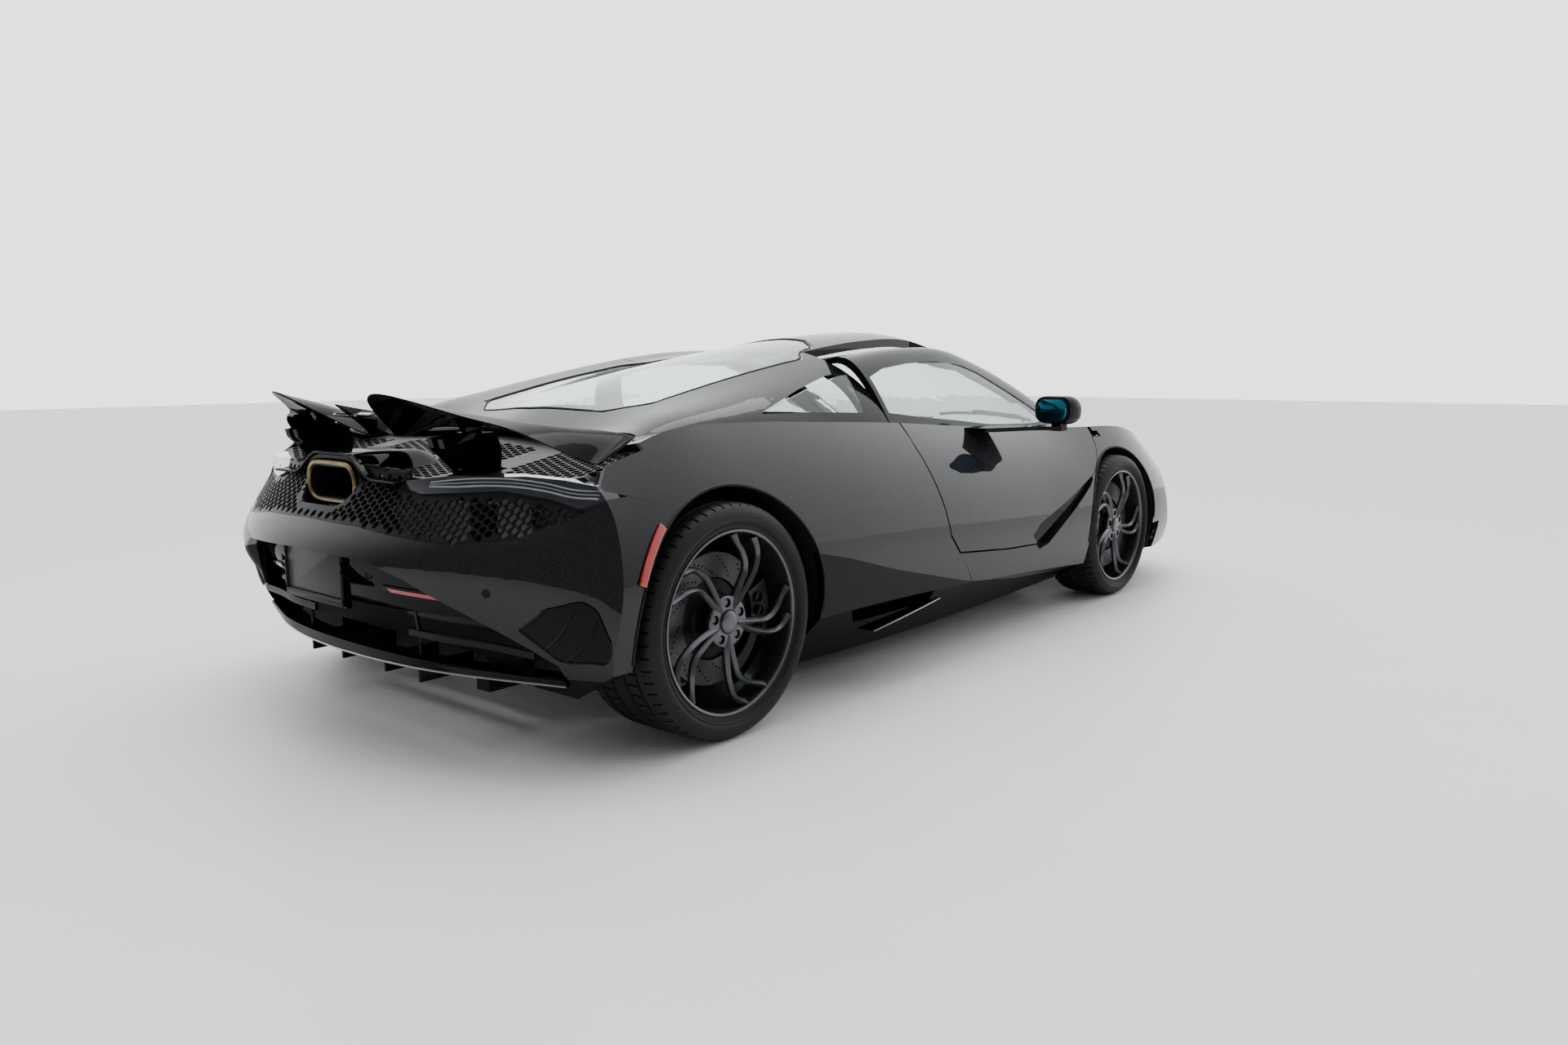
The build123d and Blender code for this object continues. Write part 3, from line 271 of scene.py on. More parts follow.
def plate(name, outline, push):
    # flat outline filled, then pulled to its thickness
    drawLine(outline)
    bpy.ops.mesh.edge_face_add()
    bpy.ops.mesh.extrude_region_move(TRANSFORM_OT_translate={"value": push})
    tidyMesh()
    piece = named(name)
    setPlace(piece)
    return piece


def rod(name, sides, radius, depth, place, turn=(0, 0, 0)):
    # straight bar round its place, with as many sides as asked
    freshSelection()
    bpy.ops.mesh.primitive_cylinder_add(vertices=sides, radius=radius, depth=depth, location=place,
                                        rotation=turn)
    piece = named(name)
    setPlace(piece)
    return piece


def tube(name, points, thick, tall=0.0, ridge=2, sizes=None, cyclic=False):
    # smooth bar through the points, round or, with tall, a standing strip
    freshSelection()
    bpy.ops.curve.primitive_bezier_curve_add(location=(0, 0, 0))
    line = named(name).data
    line.dimensions = "3D"
    line.twist_mode = "Z_UP"
    spline = line.splines[0]
    spline.bezier_points.add(len(points) - 2)
    for i, (knot, point) in enumerate(zip(spline.bezier_points, points)):
        knot.co = point
        knot.radius = sizes[i] if sizes else 1.0
    for knot in spline.bezier_points:
        knot.handle_left_type = knot.handle_right_type = "AUTO"
    spline.use_cyclic_u = cyclic
    line.resolution_u = 6
    line.bevel_depth = thick
    line.extrude = tall
    line.bevel_resolution = ridge
    line.use_fill_caps = not cyclic
    bpy.ops.object.convert(target="MESH")
    piece = bpy.context.object
    bpy.ops.object.mode_set(mode="EDIT")
    tidyMesh()
    return piece


def joined(name, pieces):
    freshSelection()
    for part in pieces:
        part.select_set(True)
    bpy.context.view_layer.objects.active = pieces[0]
    bpy.ops.object.join()
    return named(name)


def copyOf(piece, move):
    other = piece.copy()
    other.data = piece.data.copy()
    bpy.context.scene.collection.objects.link(other)
    other.data.transform(move)
    return other


def softenEdges(piece, width, segments=2, angle=32):
    bevel = piece.modifiers.new("softEdge", "BEVEL")
    bevel.width = width
    bevel.segments = segments
    bevel.limit_method = "ANGLE"
    bevel.angle_limit = math.radians(angle)
    applyAll(piece)


def cutWith(piece, cutter):
    boolean = piece.modifiers.new("cut", "BOOLEAN")
    boolean.operation = "DIFFERENCE"
    boolean.solver = "EXACT"
    boolean.object = cutter
    applyAll(piece)
    bpy.data.objects.remove(cutter)


def otherSide(piece, name):
    # the same piece on the car's other side
    other = copyOf(piece, Matrix.Scale(-1, 4, (0, 1, 0)))
    other.name = other.data.name = name
    other.data.flip_normals()
    return other


# wheels, tyres and brakes, modelled flat with the outer face up; radii and heights from the middle
wheelLook = {"steps": 128, "seatDrop": 0.0083, "lipOut": 0.0075, "faceIn": 0.014, "armReach": 0.0165,
             "firstPair": 58.0, "strandWide": 0.0112, "thickAtHub": 1.08, "thinOutwards": 0.36,
             "footFrom": 0.9, "footThick": 0.35, "dishDeep": 0.024, "dishShare": 0.72, "dishLift": 0.002,
             "innerStrand": [(0.16, -4), (0.30, -8), (0.45, -8), (0.58, -7), (0.70, -5), (0.86, 0), (0.985, 9)],
             "outerStrand": [(0.16, 3), (0.30, 5.5), (0.45, 6), (0.63, 8), (0.76, 15), (0.88, 24), (0.985, 29)],
             "hubIn": 0.0235, "hubDeep": 0.030, "lugCircle": 0.056, "lugHole": 0.0135, "boltSize": 0.0105}


def facePlace(share):
    # how far the spokes' front lies behind the rim's face
    dish = max(0.0, 1.0 - share / wheelLook["dishShare"]) ** 1.2
    return wheelLook["dishDeep"] * dish + wheelLook["dishLift"]


def makeStrand(turns, start, face, radius, deep):
    points, sizes = [], []
    for share, turn in turns:
        r = share * (radius - wheelLook["armReach"])
        a = math.radians(wheelLook["firstPair"] + start + turn)
        points.append((r * math.cos(a), r * math.sin(a), face - facePlace(share) - 0.5 * deep))
        sizes.append(wheelLook["thickAtHub"] - wheelLook["thinOutwards"] * share
                     + (wheelLook["footThick"] if share > wheelLook["footFrom"] else 0.0))
    wide = wheelLook["strandWide"]
    return tube("strand", points, wide, tall=0.5 * deep - wide, ridge=0, sizes=sizes)


def makeRim(name, half, radius, deep):
    seat = radius - wheelLook["seatDrop"]
    face = half - wheelLook["faceIn"]
    barrel = turned(name + "Barrel", [
        (seat, half - 0.019), (radius - 0.009, half - 0.0135), (radius - 0.011, half - 0.0128),
        (radius - 0.0165, half - 0.0140), (radius - 0.0185, half - 0.0190), (radius - 0.0200, half - 0.0300),
        (seat - 0.0120, half - 0.048), (seat - 0.0140, 0.0), (seat - 0.0120, -half + 0.040),
        (radius - 0.0200, -half + 0.015), (radius - 0.012, -half + 0.013), (seat, -half + 0.019)],
        wheelLook["steps"])
    strands = [makeStrand(turns, 72 * arm, face, radius, deep) for arm in range(5)
               for turns in (wheelLook["innerStrand"], wheelLook["outerStrand"])]
    hubFace = face - wheelLook["hubIn"]
    hubBack = hubFace - wheelLook["hubDeep"]
    hub = turned(name + "Hub", [(0.0, hubBack), (0.072, hubBack), (0.0775, hubFace - 0.014),
                                (0.0765, hubFace - 0.004), (0.073, hubFace), (0.037, hubFace + 0.0015),
                                (0.0345, hubFace - 0.002), (0.0335, hubFace - 0.002), (0.0325, hubFace + 0.006),
                                (0.029, hubFace + 0.0085), (0.014, hubFace + 0.010), (0.0, hubFace + 0.0103)],
                 60, closed=False)
    pockets, bolts = [], []
    for k in range(5):
        a = math.radians(wheelLook["firstPair"] + 36 + 72 * k)
        x, y = wheelLook["lugCircle"] * math.cos(a), wheelLook["lugCircle"] * math.sin(a)
        pockets.append(rod("pocket", 24, wheelLook["lugHole"], 0.04, (x, y, hubFace + 0.0035)))
        bolt = rod("bolt", 6, wheelLook["boltSize"], 0.014, (x, y, hubFace - 0.0115))
        softenEdges(bolt, 0.0012, angle=50)
        bolts.append(bolt)
    cutWith(hub, joined("pockets", pockets))
    wheel = joined(name, [barrel, hub] + strands + bolts)
    softenEdges(wheel, 0.0007, 1, angle=40)
    return wheel


# the tyre's bead counts outwards from the rim, its wall inwards from the tread, both inwards from the side
tyreLook = {"bead": [(-0.0078, 0.0165), (0.003, 0.0135), (0.007, 0.006), (0.011, 0.0025), (0.0125, 0.0045),
                     (0.020, 0.0012), (0.022, 0.0002)],
            "wall": [(0.040, 0.0002), (0.0385, 0.0012), (0.0370, 0.0002), (0.0300, 0.0018), (0.0285, 0.0032),
                     (0.0270, 0.0028), (0.0180, 0.0075), (0.0095, 0.0145), (0.0045, 0.0225), (0.0016, 0.0330),
                     (0.0004, 0.0450)],
            "steps": 360, "grooveTop": 0.0062, "grooveFloor": 0.0045, "grooveDeep": 0.0070,
            "sipeEvery": 6, "sipeDeep": 0.005, "sipeBand": (0.046, 0.018), "sipeMargin": 0.006, "sipeSkew": 3.0}


def makeTyre(name, half, outer, rimRadius, grooves):
    bead = [(rimRadius + r, half - h) for r, h in tyreLook["bead"]]
    wall = [(outer - r, half - h) for r, h in tyreLook["wall"]]
    inner, wider = grooves
    tread, floor = [], outer - tyreLook["grooveDeep"]
    for at in (wider, inner):
        tread += [(outer, at + tyreLook["grooveTop"]), (floor, at + tyreLook["grooveFloor"]),
                  (floor, at - tyreLook["grooveFloor"]), (outer, at - tyreLook["grooveTop"])]
    outline = bead + wall + tread
    tyre = turned(name, outline + [(r, -h) for r, h in reversed(outline)], tyreLook["steps"])
    bandIn, bandOut = (half - edge for edge in tyreLook["sipeBand"])
    margin = tyreLook["sipeMargin"]

    def sipes(centre, normal):
        # cross cuts on the shoulders and, turned a little, on the ribs between the grooves
        step = math.degrees(math.atan2(centre.y, centre.x)) % 360
        off = abs(centre.z)
        band = bandIn < off < bandOut or inner + margin < off < wider - margin
        skew = 0.0 if off > wider else tyreLook["sipeSkew"]
        return band and centre.length > outer - 0.006 and normal.x ** 2 + normal.y ** 2 > 0.3 and \
            int(step + skew) % tyreLook["sipeEvery"] == 0
    pickFaces(tyre, sipes)
    bpy.ops.mesh.extrude_region_shrink_fatten(TRANSFORM_OT_shrink_fatten={"value": -tyreLook["sipeDeep"]})
    bpy.ops.object.mode_set(mode="OBJECT")
    return tyre


brakeLook = {"discInner": 0.122, "discOuter": 0.1965, "discFace": 0.0515, "holeArcs": 12, "holeRows": 6,
             "holeLean": 4.6, "holeMargin": 0.014, "holeSize": 0.0034, "caliperSweep": 46.0,
             "pistonTurns": (-13, 0, 13), "pistonSize": 0.0165, "pistonAt": 0.176}


def makeDisc(name):
    inner, outer, face = brakeLook["discInner"], brakeLook["discOuter"], brakeLook["discFace"]
    disc = turned(name, [(inner, 0.0235), (outer - 0.001, 0.0235), (outer, 0.0245), (outer, 0.0330),
                         (outer - 0.010, 0.0335), (outer - 0.010, 0.0405), (outer, 0.0410), (outer, 0.0505),
                         (outer - 0.001, face), (inner, face)], 96)
    margin, rows = brakeLook["holeMargin"], brakeLook["holeRows"]
    drill = rod("drill", 10, brakeLook["holeSize"], 0.008, (0, 0, 0))
    drills = []
    for k in range(brakeLook["holeArcs"]):
        for row in range(rows):
            a = math.radians(360 / brakeLook["holeArcs"] * k + brakeLook["holeLean"] * row)
            r = inner + margin + (outer - inner - 2 * margin) * row / (rows - 1)
            drills.append(copyOf(drill, Matrix.Translation((r * math.cos(a), r * math.sin(a), face))))
    bpy.data.objects.remove(drill)
    cutWith(disc, joined("drills", drills))
    return disc


def makeBell(name, hubBack):
    front = min(0.056, hubBack)
    return turned(name, [(0.0, 0.030), (0.118, 0.030), (0.118, 0.0455), (0.112, 0.0475), (0.084, 0.0485),
                         (0.080, 0.0520), (0.076, front), (0.0, front)], 64, closed=False)


def makeCaliper(name, face, angle):
    # outer half of the brake caliper, an arc over the disc
    body = turned(name, [(0.1465, 0.0550), (0.1465, face - 0.003), (0.1500, face), (0.1980, face + 0.0005),
                         (0.2150, face - 0.004), (0.2262, face - 0.014), (0.2262, 0.0330), (0.2060, 0.0330),
                         (0.2060, 0.0550)], 22, angle=brakeLook["caliperSweep"])
    pickFaces(body, lambda centre, normal: False)
    bpy.ops.mesh.select_mode(type="EDGE")
    bpy.ops.mesh.select_non_manifold()
    bpy.ops.mesh.edge_face_add()
    tidyMesh()
    middle = math.radians(brakeLook["caliperSweep"] / 2)
    pistons = []
    for turn in brakeLook["pistonTurns"]:
        a = middle + math.radians(turn)
        place = (brakeLook["pistonAt"] * math.cos(a), brakeLook["pistonAt"] * math.sin(a), face + 0.0005)
        pistons.append(rod("piston", 24, brakeLook["pistonSize"], 0.006, place))
    body = joined(name, [body] + pistons)
    body.data.transform(Matrix.Rotation(math.radians(angle) - middle, 4, "Z"))
    softenEdges(body, 0.0018, 2, angle=35)
    return body


axleLook = {"Front": {"armDeep": 0.027, "grooves": (0.024, 0.066), "caliperFace": 0.0705, "caliperAt": 180.0},
            "Rear": {"armDeep": 0.034, "grooves": (0.030, 0.082), "caliperFace": 0.078, "caliperAt": 0.0}}


def makeWheels():
    for end, axle in axleLook.items():
        nodeEnd = end.lower()
        rimLow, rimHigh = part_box("rim_" + nodeEnd + "_left")
        tyreLow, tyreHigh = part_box("tyre_" + nodeEnd + "_left")
        centre = (tyreLow + tyreHigh) / 2
        half, outer = (tyreHigh.y - tyreLow.y) / 2, (tyreHigh.z - tyreLow.z) / 2
        rimRadius = (rimHigh.z - rimLow.z) / 2 + wheelLook["seatDrop"] + wheelLook["lipOut"]
        rim = makeRim("wheel" + end + "Right", half, rimRadius, axle["armDeep"])
        tyre = makeTyre("tyre" + end + "Right", half, outer, rimRadius, axle["grooves"])
        disc = makeDisc("brakeDisc" + end + "Right")
        bell = makeBell("brakeBell" + end + "Right",
                        half - wheelLook["faceIn"] - wheelLook["hubIn"] - wheelLook["hubDeep"])
        caliper = makeCaliper("caliper" + end + "Right", axle["caliperFace"], axle["caliperAt"])
        # stood up on the right side, then copied to the left
        stand = Matrix.Translation((centre.x, -centre.y, centre.z)) @ Matrix.Rotation(math.radians(90), 4, "X")
        for piece, material in ((rim, wheelGrey), (tyre, rubber), (disc, shadeDarkSteel), (bell, satinBlack),
                                (caliper, glossBlack)):
            piece.data.transform(stand)
            smooth(piece, 30)
            dress(piece, material)
            left = otherSide(piece, piece.name.replace("Right", "Left"))
            for side, done in (("right", piece), ("left", left)):
                ending = nodeEnd + "_" + side
                if piece is not caliper:
                    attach(done, "wheel_" + ending)
                else:
                    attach(done, "upright_" + ending if end == "Front" else "body")
                if piece is rim:
                    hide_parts("rim_" + ending)
                if piece is tyre:
                    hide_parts("tyre_" + ending)
        print(end, "wheels made")


makeWheels()


# laying pieces on the body: each look has its direction and where it starts from
lookWays = {"back": (Vector((1, 0, 0)), lambda a, b: Vector((-4, a, b))),
            "front": (Vector((-1, 0, 0)), lambda a, b: Vector((4, a, b))),
            "right": (Vector((0, 1, 0)), lambda a, b: Vector((a, -3, b))),
            "inside": (Vector((0, -1, 0)), lambda a, b: Vector((a, -0.30, b))),
            "top": (Vector((0, 0, -1)), lambda a, b: Vector((a, b, 3)))}


def touch(nodeNames, look, a, b, proud=0.0):
    # where a straight look meets the named parts
    way, startOf = lookWays[look]
    start, best = startOf(a, b), None
    for nodeName in nodeNames:
        found, place, normal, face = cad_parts[nodeName].ray_cast(start, way)
        if found and (best is None or (place - start).length < (best - start).length):
            best = place
    return best - way * proud if best is not None else None


def along(line, share):
    # the point at a share of the line's length
    spans = [(Vector(q) - Vector(p)).length for p, q in zip(line, line[1:])]
    left = share * sum(spans)
    for p, q, span in zip(line, line[1:], spans):
        if left <= span + 1e-9:
            return Vector(p).lerp(Vector(q), left / span if span else 0.0)
        left -= span
    return Vector(line[-1])


def patch(name, nodeNames, look, lower, upper, thick, proud=0.001, across=24, up=4, round=0.0):
    # thin piece between two lines, laid on the body and given a thickness outwards
    freshSelection()
    bpy.ops.mesh.primitive_grid_add(x_subdivisions=across, y_subdivisions=up, size=1.0)
    piece = named(name)
    way, startOf = lookWays[look]
    last = None
    for vert in piece.data.vertices:
        low, high = along(lower, vert.co.x + 0.5), along(upper, vert.co.x + 0.5)
        spot = low.lerp(high, vert.co.y + 0.5)
        place = touch(nodeNames, look, spot.x, spot.y, proud)
        if place is None:
            # past the body's edge it keeps the depth of the point before
            place = startOf(spot.x, spot.y)
            place += way * ((last - place).dot(way) if last is not None else 2.0)
        vert.co = last = place
    flat = piece.data.polygons[len(piece.data.polygons) // 2]
    if flat.normal.dot(way) > 0:
        piece.data.flip_normals()
    shell = piece.modifiers.new("thickness", "SOLIDIFY")
    shell.thickness, shell.offset = thick, 1.0
    applyAll(piece)
    softenEdges(piece, round or thick * 0.35, 2, angle=50)
    return piece


def lineOn(name, nodeNames, look, points, thick, proud=0.0, tall=0.0, sizes=None):
    places = [touch(nodeNames, look, a, b, proud) for a, b in points]
    return tube(name, [place for place in places if place is not None], thick, tall=tall, sizes=sizes)


def arcPoints(centre, radius, first, last, count):
    angles = [math.radians(first + (last - first) * k / count) for k in range(count + 1)]
    return [(centre[0] + radius * math.cos(a), centre[1] + radius * math.sin(a)) for a in angles]


def ovalPath(x, halfWide, halfHigh, corner, z, steps=5, y=0.0):
    # standing oblong with round corners, seen from the back
    points = []
    for sideY, sideZ, start in ((1, 1, 0), (-1, 1, 90), (-1, -1, 180), (1, -1, 270)):
        for k in range(steps + 1):
            a = math.radians(start + 90 * k / steps)
            points.append((x, sideY * (halfWide - corner) + corner * math.cos(a) + y,
                           z + sideZ * (halfHigh - corner) + corner * math.sin(a)))
    return points


def eased(share):
    share = min(1.0, max(0.0, share))
    return share * share * (3 - 2 * share)


def fitted(piece, material, body="body", angle=35):
    smooth(piece, angle)
    dress(piece, material)
    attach(piece, body)
    return piece


def bothSides(piece, material, body="body", farBody="body"):
    # fits the piece and its mirror image
    smooth(piece)
    dress(piece, material)
    other = otherSide(piece, piece.name + "Far")
    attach(piece, body)
    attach(other, farBody)


# honeycomb panels, cut through copies of the parts they replace
meshLook = {
    "tailHoneycomb": {"node": "rear_fascia_mesh", "look": "back", "cell": 0.0098, "wall": 0.0030,
                      "stretch": 1.12, "rim": 0.019},
    "deckHoneycomb": {"node": "deck_mesh", "look": "top", "cell": 0.0125, "wall": 0.0038,
                      "stretch": 1.25, "rim": 0.022, "frontEnd": -1.66, "pylon": (0.34, 0.46)},
    "noseHoneycomb": {"node": "front_grille", "look": "front", "cell": 0.0135, "wall": 0.0040,
                      "stretch": 1.35, "rim": 0.020}}


def makeCells(panel, low, high):
    # two crossed rows of six-sided bars, long enough to go through the panel
    lying = panel["look"] == "top"
    upAxis = 0 if lying else 2
    pitch = panel["cell"] + panel["wall"] / math.sqrt(3)
    rowPitch, columnPitch = math.sqrt(3) * pitch, 3.0 * pitch * panel["stretch"]
    depth = (high.z - low.z if lying else high.x - low.x) + 0.04
    turn = (0, 0, 0) if lying else (0, math.radians(90), 0)
    blocks = []
    for shiftRow, shiftColumn in ((0.0, 0.0), (rowPitch / 2, columnPitch / 2)):
        start = (low + high) / 2
        start.y = low.y - columnPitch + shiftColumn
        start[upAxis] = low[upAxis] - rowPitch + shiftRow
        freshSelection()
        bpy.ops.mesh.primitive_cylinder_add(vertices=6, radius=panel["cell"], depth=depth, location=start,
                                            rotation=turn)
        cells = named("cells")
        cells.scale = (1, panel["stretch"], 1)
        setPlace(cells)
        for axis, step in ((upAxis, rowPitch), (1, columnPitch)):
            array = cells.modifiers.new("rows", "ARRAY")
            array.use_relative_offset = False
            array.use_constant_offset = True
            array.count = int((high[axis] - low[axis]) / step) + 3
            array.constant_offset_displace = [step if k == axis else 0.0 for k in range(3)]
        applyAll(cells)
        blocks.append(cells)
    return joined("cells", blocks)


def makeHoneycomb(name, allowed=lambda a, b: True):
    panel = meshLook[name]
    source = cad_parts[panel["node"]]
    skin = bpy.data.objects.new(name, source.data.copy())
    bpy.context.scene.collection.objects.link(skin)
    pickOnly(skin)
    bpy.ops.object.mode_set(mode="EDIT")
    bpy.ops.mesh.select_all(action="SELECT")
    bpy.ops.mesh.remove_doubles(threshold=0.00001)
    bpy.ops.object.mode_set(mode="OBJECT")
    cells = makeCells(panel, *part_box(panel["node"]))
    # only whole cells inside the panel's rim are cut
    way, startOf = lookWays[panel["look"]]
    turns = [math.radians(60 * k + 30) for k in range(6)]
    rim = [(panel["rim"] * math.cos(turn), panel["rim"] * math.sin(turn)) for turn in turns]
    verts, drop = cells.data.vertices, set()
    for first in range(0, len(verts), 12):
        centre = sum((verts[i].co for i in range(first, first + 12)), Vector()) / 12
        a, b = (centre.x, centre.y) if panel["look"] == "top" else (centre.y, centre.z)
        inside = allowed(a, b) and all(skin.ray_cast(startOf(a + da, b + db), way)[0] for da, db in rim)
        if not inside:
            drop.update(range(first, first + 12))
    dropped = {tuple(poly.center) for poly in cells.data.polygons if poly.vertices[0] in drop}
    pickOnly(cells)
    pickFaces(cells, lambda centre, normal: tuple(centre) in dropped)
    bpy.ops.mesh.delete(type="FACE")
    bpy.ops.mesh.select_all(action="SELECT")
    bpy.ops.mesh.normals_make_consistent(inside=False)
    bpy.ops.object.mode_set(mode="OBJECT")
    print(name, "cells:", len(cells.data.vertices) // 12)
    cutWith(skin, cells)
    fitted(skin, satinBlack, angle=30)
    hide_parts(panel["node"])


def onDeck(x, y):
    # behind the deck's front end and clear of the wing's two pylons
    panel = meshLook["deckHoneycomb"]
    return x < panel["frontEnd"] and not panel["pylon"][0] < abs(y) < panel["pylon"][1]


makeHoneycomb("tailHoneycomb")
makeHoneycomb("deckHoneycomb", onDeck)
print("honeycomb made")

# exhaust; each ring is (how far behind the mouth, then how much wider, taller and rounder than the outlet)
exhaustLook = {"z": 0.745, "halfWide": 0.134, "halfHigh": 0.060, "corner": 0.055,
               "edge": (0.001, -0.006, -0.006, -0.006), "edgeThick": 0.0078,
               "collar": (0.016, 0.014, 0.013, 0.012), "collarThick": 0.0135,
               "back": (0.19, -0.016, -0.016, -0.014), "backThick": 0.004,
               "baffle": (0.12, -0.030, -0.028, -0.030), "baffleThick": 0.006}


def exhaustRing(ring):
    behind, wider, taller, rounder = exhaustLook[ring]
    return ovalPath(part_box("exhaust_outlet")[0].x + behind, exhaustLook["halfWide"] + wider,
                    exhaustLook["halfHigh"] + taller, exhaustLook["corner"] + rounder, exhaustLook["z"])


def makeExhaust():
    edge = tube("exhaustRolledEdge", exhaustRing("edge"), exhaustLook["edgeThick"], ridge=3, cyclic=True)
    fitted(edge, bronze)
    collar = tube("exhaustCollar", exhaustRing("collar"), exhaustLook["collarThick"], ridge=3, cyclic=True)
    fitted(collar, glossBlack)
    back = plate("exhaustBack", exhaustRing("back"), (exhaustLook["backThick"], 0, 0))
    softenEdges(back, 0.001)
    fitted(back, matteBlack)
    baffle = tube("exhaustBaffle", exhaustRing("baffle"), exhaustLook["baffleThick"], cyclic=True)
    fitted(baffle, soot)
    print("exhaust made")


makeExhaust()

# tail lamps: light guides along one line, parted by their shift, each with its thickness
tailLampLook = {"line": [(0.42, 0.7610), (0.50, 0.7670), (0.58, 0.7720), (0.66, 0.7710), (0.74, 0.7620),
                         (0.81, 0.7480), (0.87, 0.7450)], "partFrom": 0.34, "partOver": 0.14,
                "guides": {"Upper": (0.0095, 0.0020), "Lower": (-0.0095, 0.0026), "Middle": (0.0, 0.0012)}}


def makeTailLamps():
    for mark, (shift, thick) in tailLampLook["guides"].items():
        points = [(y, z + shift * min(1.0, (y - tailLampLook["partFrom"]) / tailLampLook["partOver"]))
                  for y, z in tailLampLook["line"]]
        guide = lineOn("lampGuide" + mark, ["tail_lamps"], "back", points, thick, proud=0.0002)
        bothSides(guide, lampGuide)
    print("tail lamps made")


makeTailLamps()

# number plate and rear bumper fittings
plateLook = {"halfWide": 0.1545, "halfHigh": 0.078, "z": 0.505, "corner": 0.010, "thick": 0.0022,
             "touchAt": 0.54, "frameOut": 0.003, "frameThick": 0.0052,
             "footWider": 0.006, "footHalf": 0.0115, "footDrop": 0.008,
             "screwSize": 0.0072, "screwLong": 0.005, "screwY": 0.089, "screwZ": 0.565}


def makeNumberPlate():
    # blank plate in a plain frame, held by two screws
    x = touch(["diffuser"], "back", 0.0, plateLook["touchAt"]).x
    wide, high, z, corner = (plateLook[key] for key in ("halfWide", "halfHigh", "z", "corner"))
    out = plateLook["frameOut"]
    blank = plate("blankPlate", ovalPath(x - 0.0004, wide, high, corner, z, 4), (-plateLook["thick"], 0, 0))
    softenEdges(blank, 0.0008)
    fitted(blank, plateGrey)
    rim = tube("plateFrame", ovalPath(x - out, wide + out, high + out, corner + 0.002, z),
               plateLook["frameThick"], cyclic=True)
    fitted(rim, satinBlack)
    foot = ovalPath(x - 0.001, wide + plateLook["footWider"], plateLook["footHalf"], 0.006,
                    z - high - plateLook["footDrop"], 4)
    strip = plate("plateFrameFoot", foot, (-0.006, 0, 0))
    softenEdges(strip, 0.0015)
    fitted(strip, satinBlack)
    for side, tag in ((-1, "Right"), (1, "Left")):
        screw = rod("plateScrew" + tag, 24, plateLook["screwSize"], plateLook["screwLong"],
                    (x - 0.0045, side * plateLook["screwY"], plateLook["screwZ"]), (0, math.radians(90), 0))
        pickFaces(screw, lambda centre, normal: normal.x < -0.9)
        bpy.ops.mesh.inset(thickness=0.0035)
        bpy.ops.transform.translate(value=(0.0022, 0, 0))
        bpy.ops.object.mode_set(mode="OBJECT")
        softenEdges(screw, 0.0008)
        fitted(screw, shadeDarkSteel)


bumperLook = {"parts": ["rear_bumper", "diffuser"],
              "reflectorFoot": [(0.305, 0.4625), (0.48, 0.4505)],
              "reflectorTop": [(0.300, 0.4760), (0.47, 0.4640)],
              "surroundFoot": [(0.285, 0.457), (0.50, 0.443)], "surroundTop": [(0.285, 0.482), (0.50, 0.470)],
              "markerInner": 0.3965, "markerOuter": 0.4200, "markerTurn": (156, 131),
              "thick": 0.0045, "surroundThick": 0.0022, "markerThick": 0.007,
              "sensors": (((0.245, 0.505), -18), ((0.665, 0.495), -38)), "sensorSize": 0.0115}


def makeBumperFittings():
    bumper = bumperLook["parts"]
    reflector = patch("rearReflector", bumper, "back", bumperLook["reflectorFoot"], bumperLook["reflectorTop"],
                      bumperLook["thick"], across=20, up=3)
    bothSides(reflector, redLens)
    cover = patch("reflectorSurround", bumper, "back", bumperLook["surroundFoot"], bumperLook["surroundTop"],
                  bumperLook["surroundThick"], across=20, up=3)
    bothSides(cover, glossBlack)
    low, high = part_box("tyre_rear_right")
    wheelAt = ((low.x + high.x) / 2, (low.z + high.z) / 2)
    inner, outer = (arcPoints(wheelAt, bumperLook[key], *bumperLook["markerTurn"], 12)
                    for key in ("markerInner", "markerOuter"))
    marker = patch("archMarker", ["rear_bumper", "rear_clamshell"], "right", inner, outer,
                   bumperLook["markerThick"], across=30)
    bothSides(marker, redLens)
    for number, (spot, turn) in enumerate(bumperLook["sensors"]):
        sensor = rod("parkSensor" + str(number + 1), 32, bumperLook["sensorSize"], 0.006,
                     touch(bumper, "back", *spot), (0, math.radians(90), math.radians(turn)))
        pickFaces(sensor, lambda centre, normal: normal.x < -0.7)
        bpy.ops.mesh.inset(thickness=0.0022)
        bpy.ops.mesh.inset(thickness=0.0006, depth=-0.0008)
        bpy.ops.object.mode_set(mode="OBJECT")
        softenEdges(sensor, 0.0005, 2, angle=50)
        bothSides(sensor, satinBlack)
    print("bumper fittings made")


makeNumberPlate()
makeBumperFittings()

# tail body: the gloss hump, the lip under the tail, side pockets, painted shade lines over the arches, skirt
# fins and wing lens
humpLook = {"top": 0.832, "foot": 0.7665, "end": 0.786, "halfWide": 0.335, "long": 0.32, "thick": 0.007,
            "flatHalf": 0.075, "shoulder": 0.15, "sinkOver": 0.075}


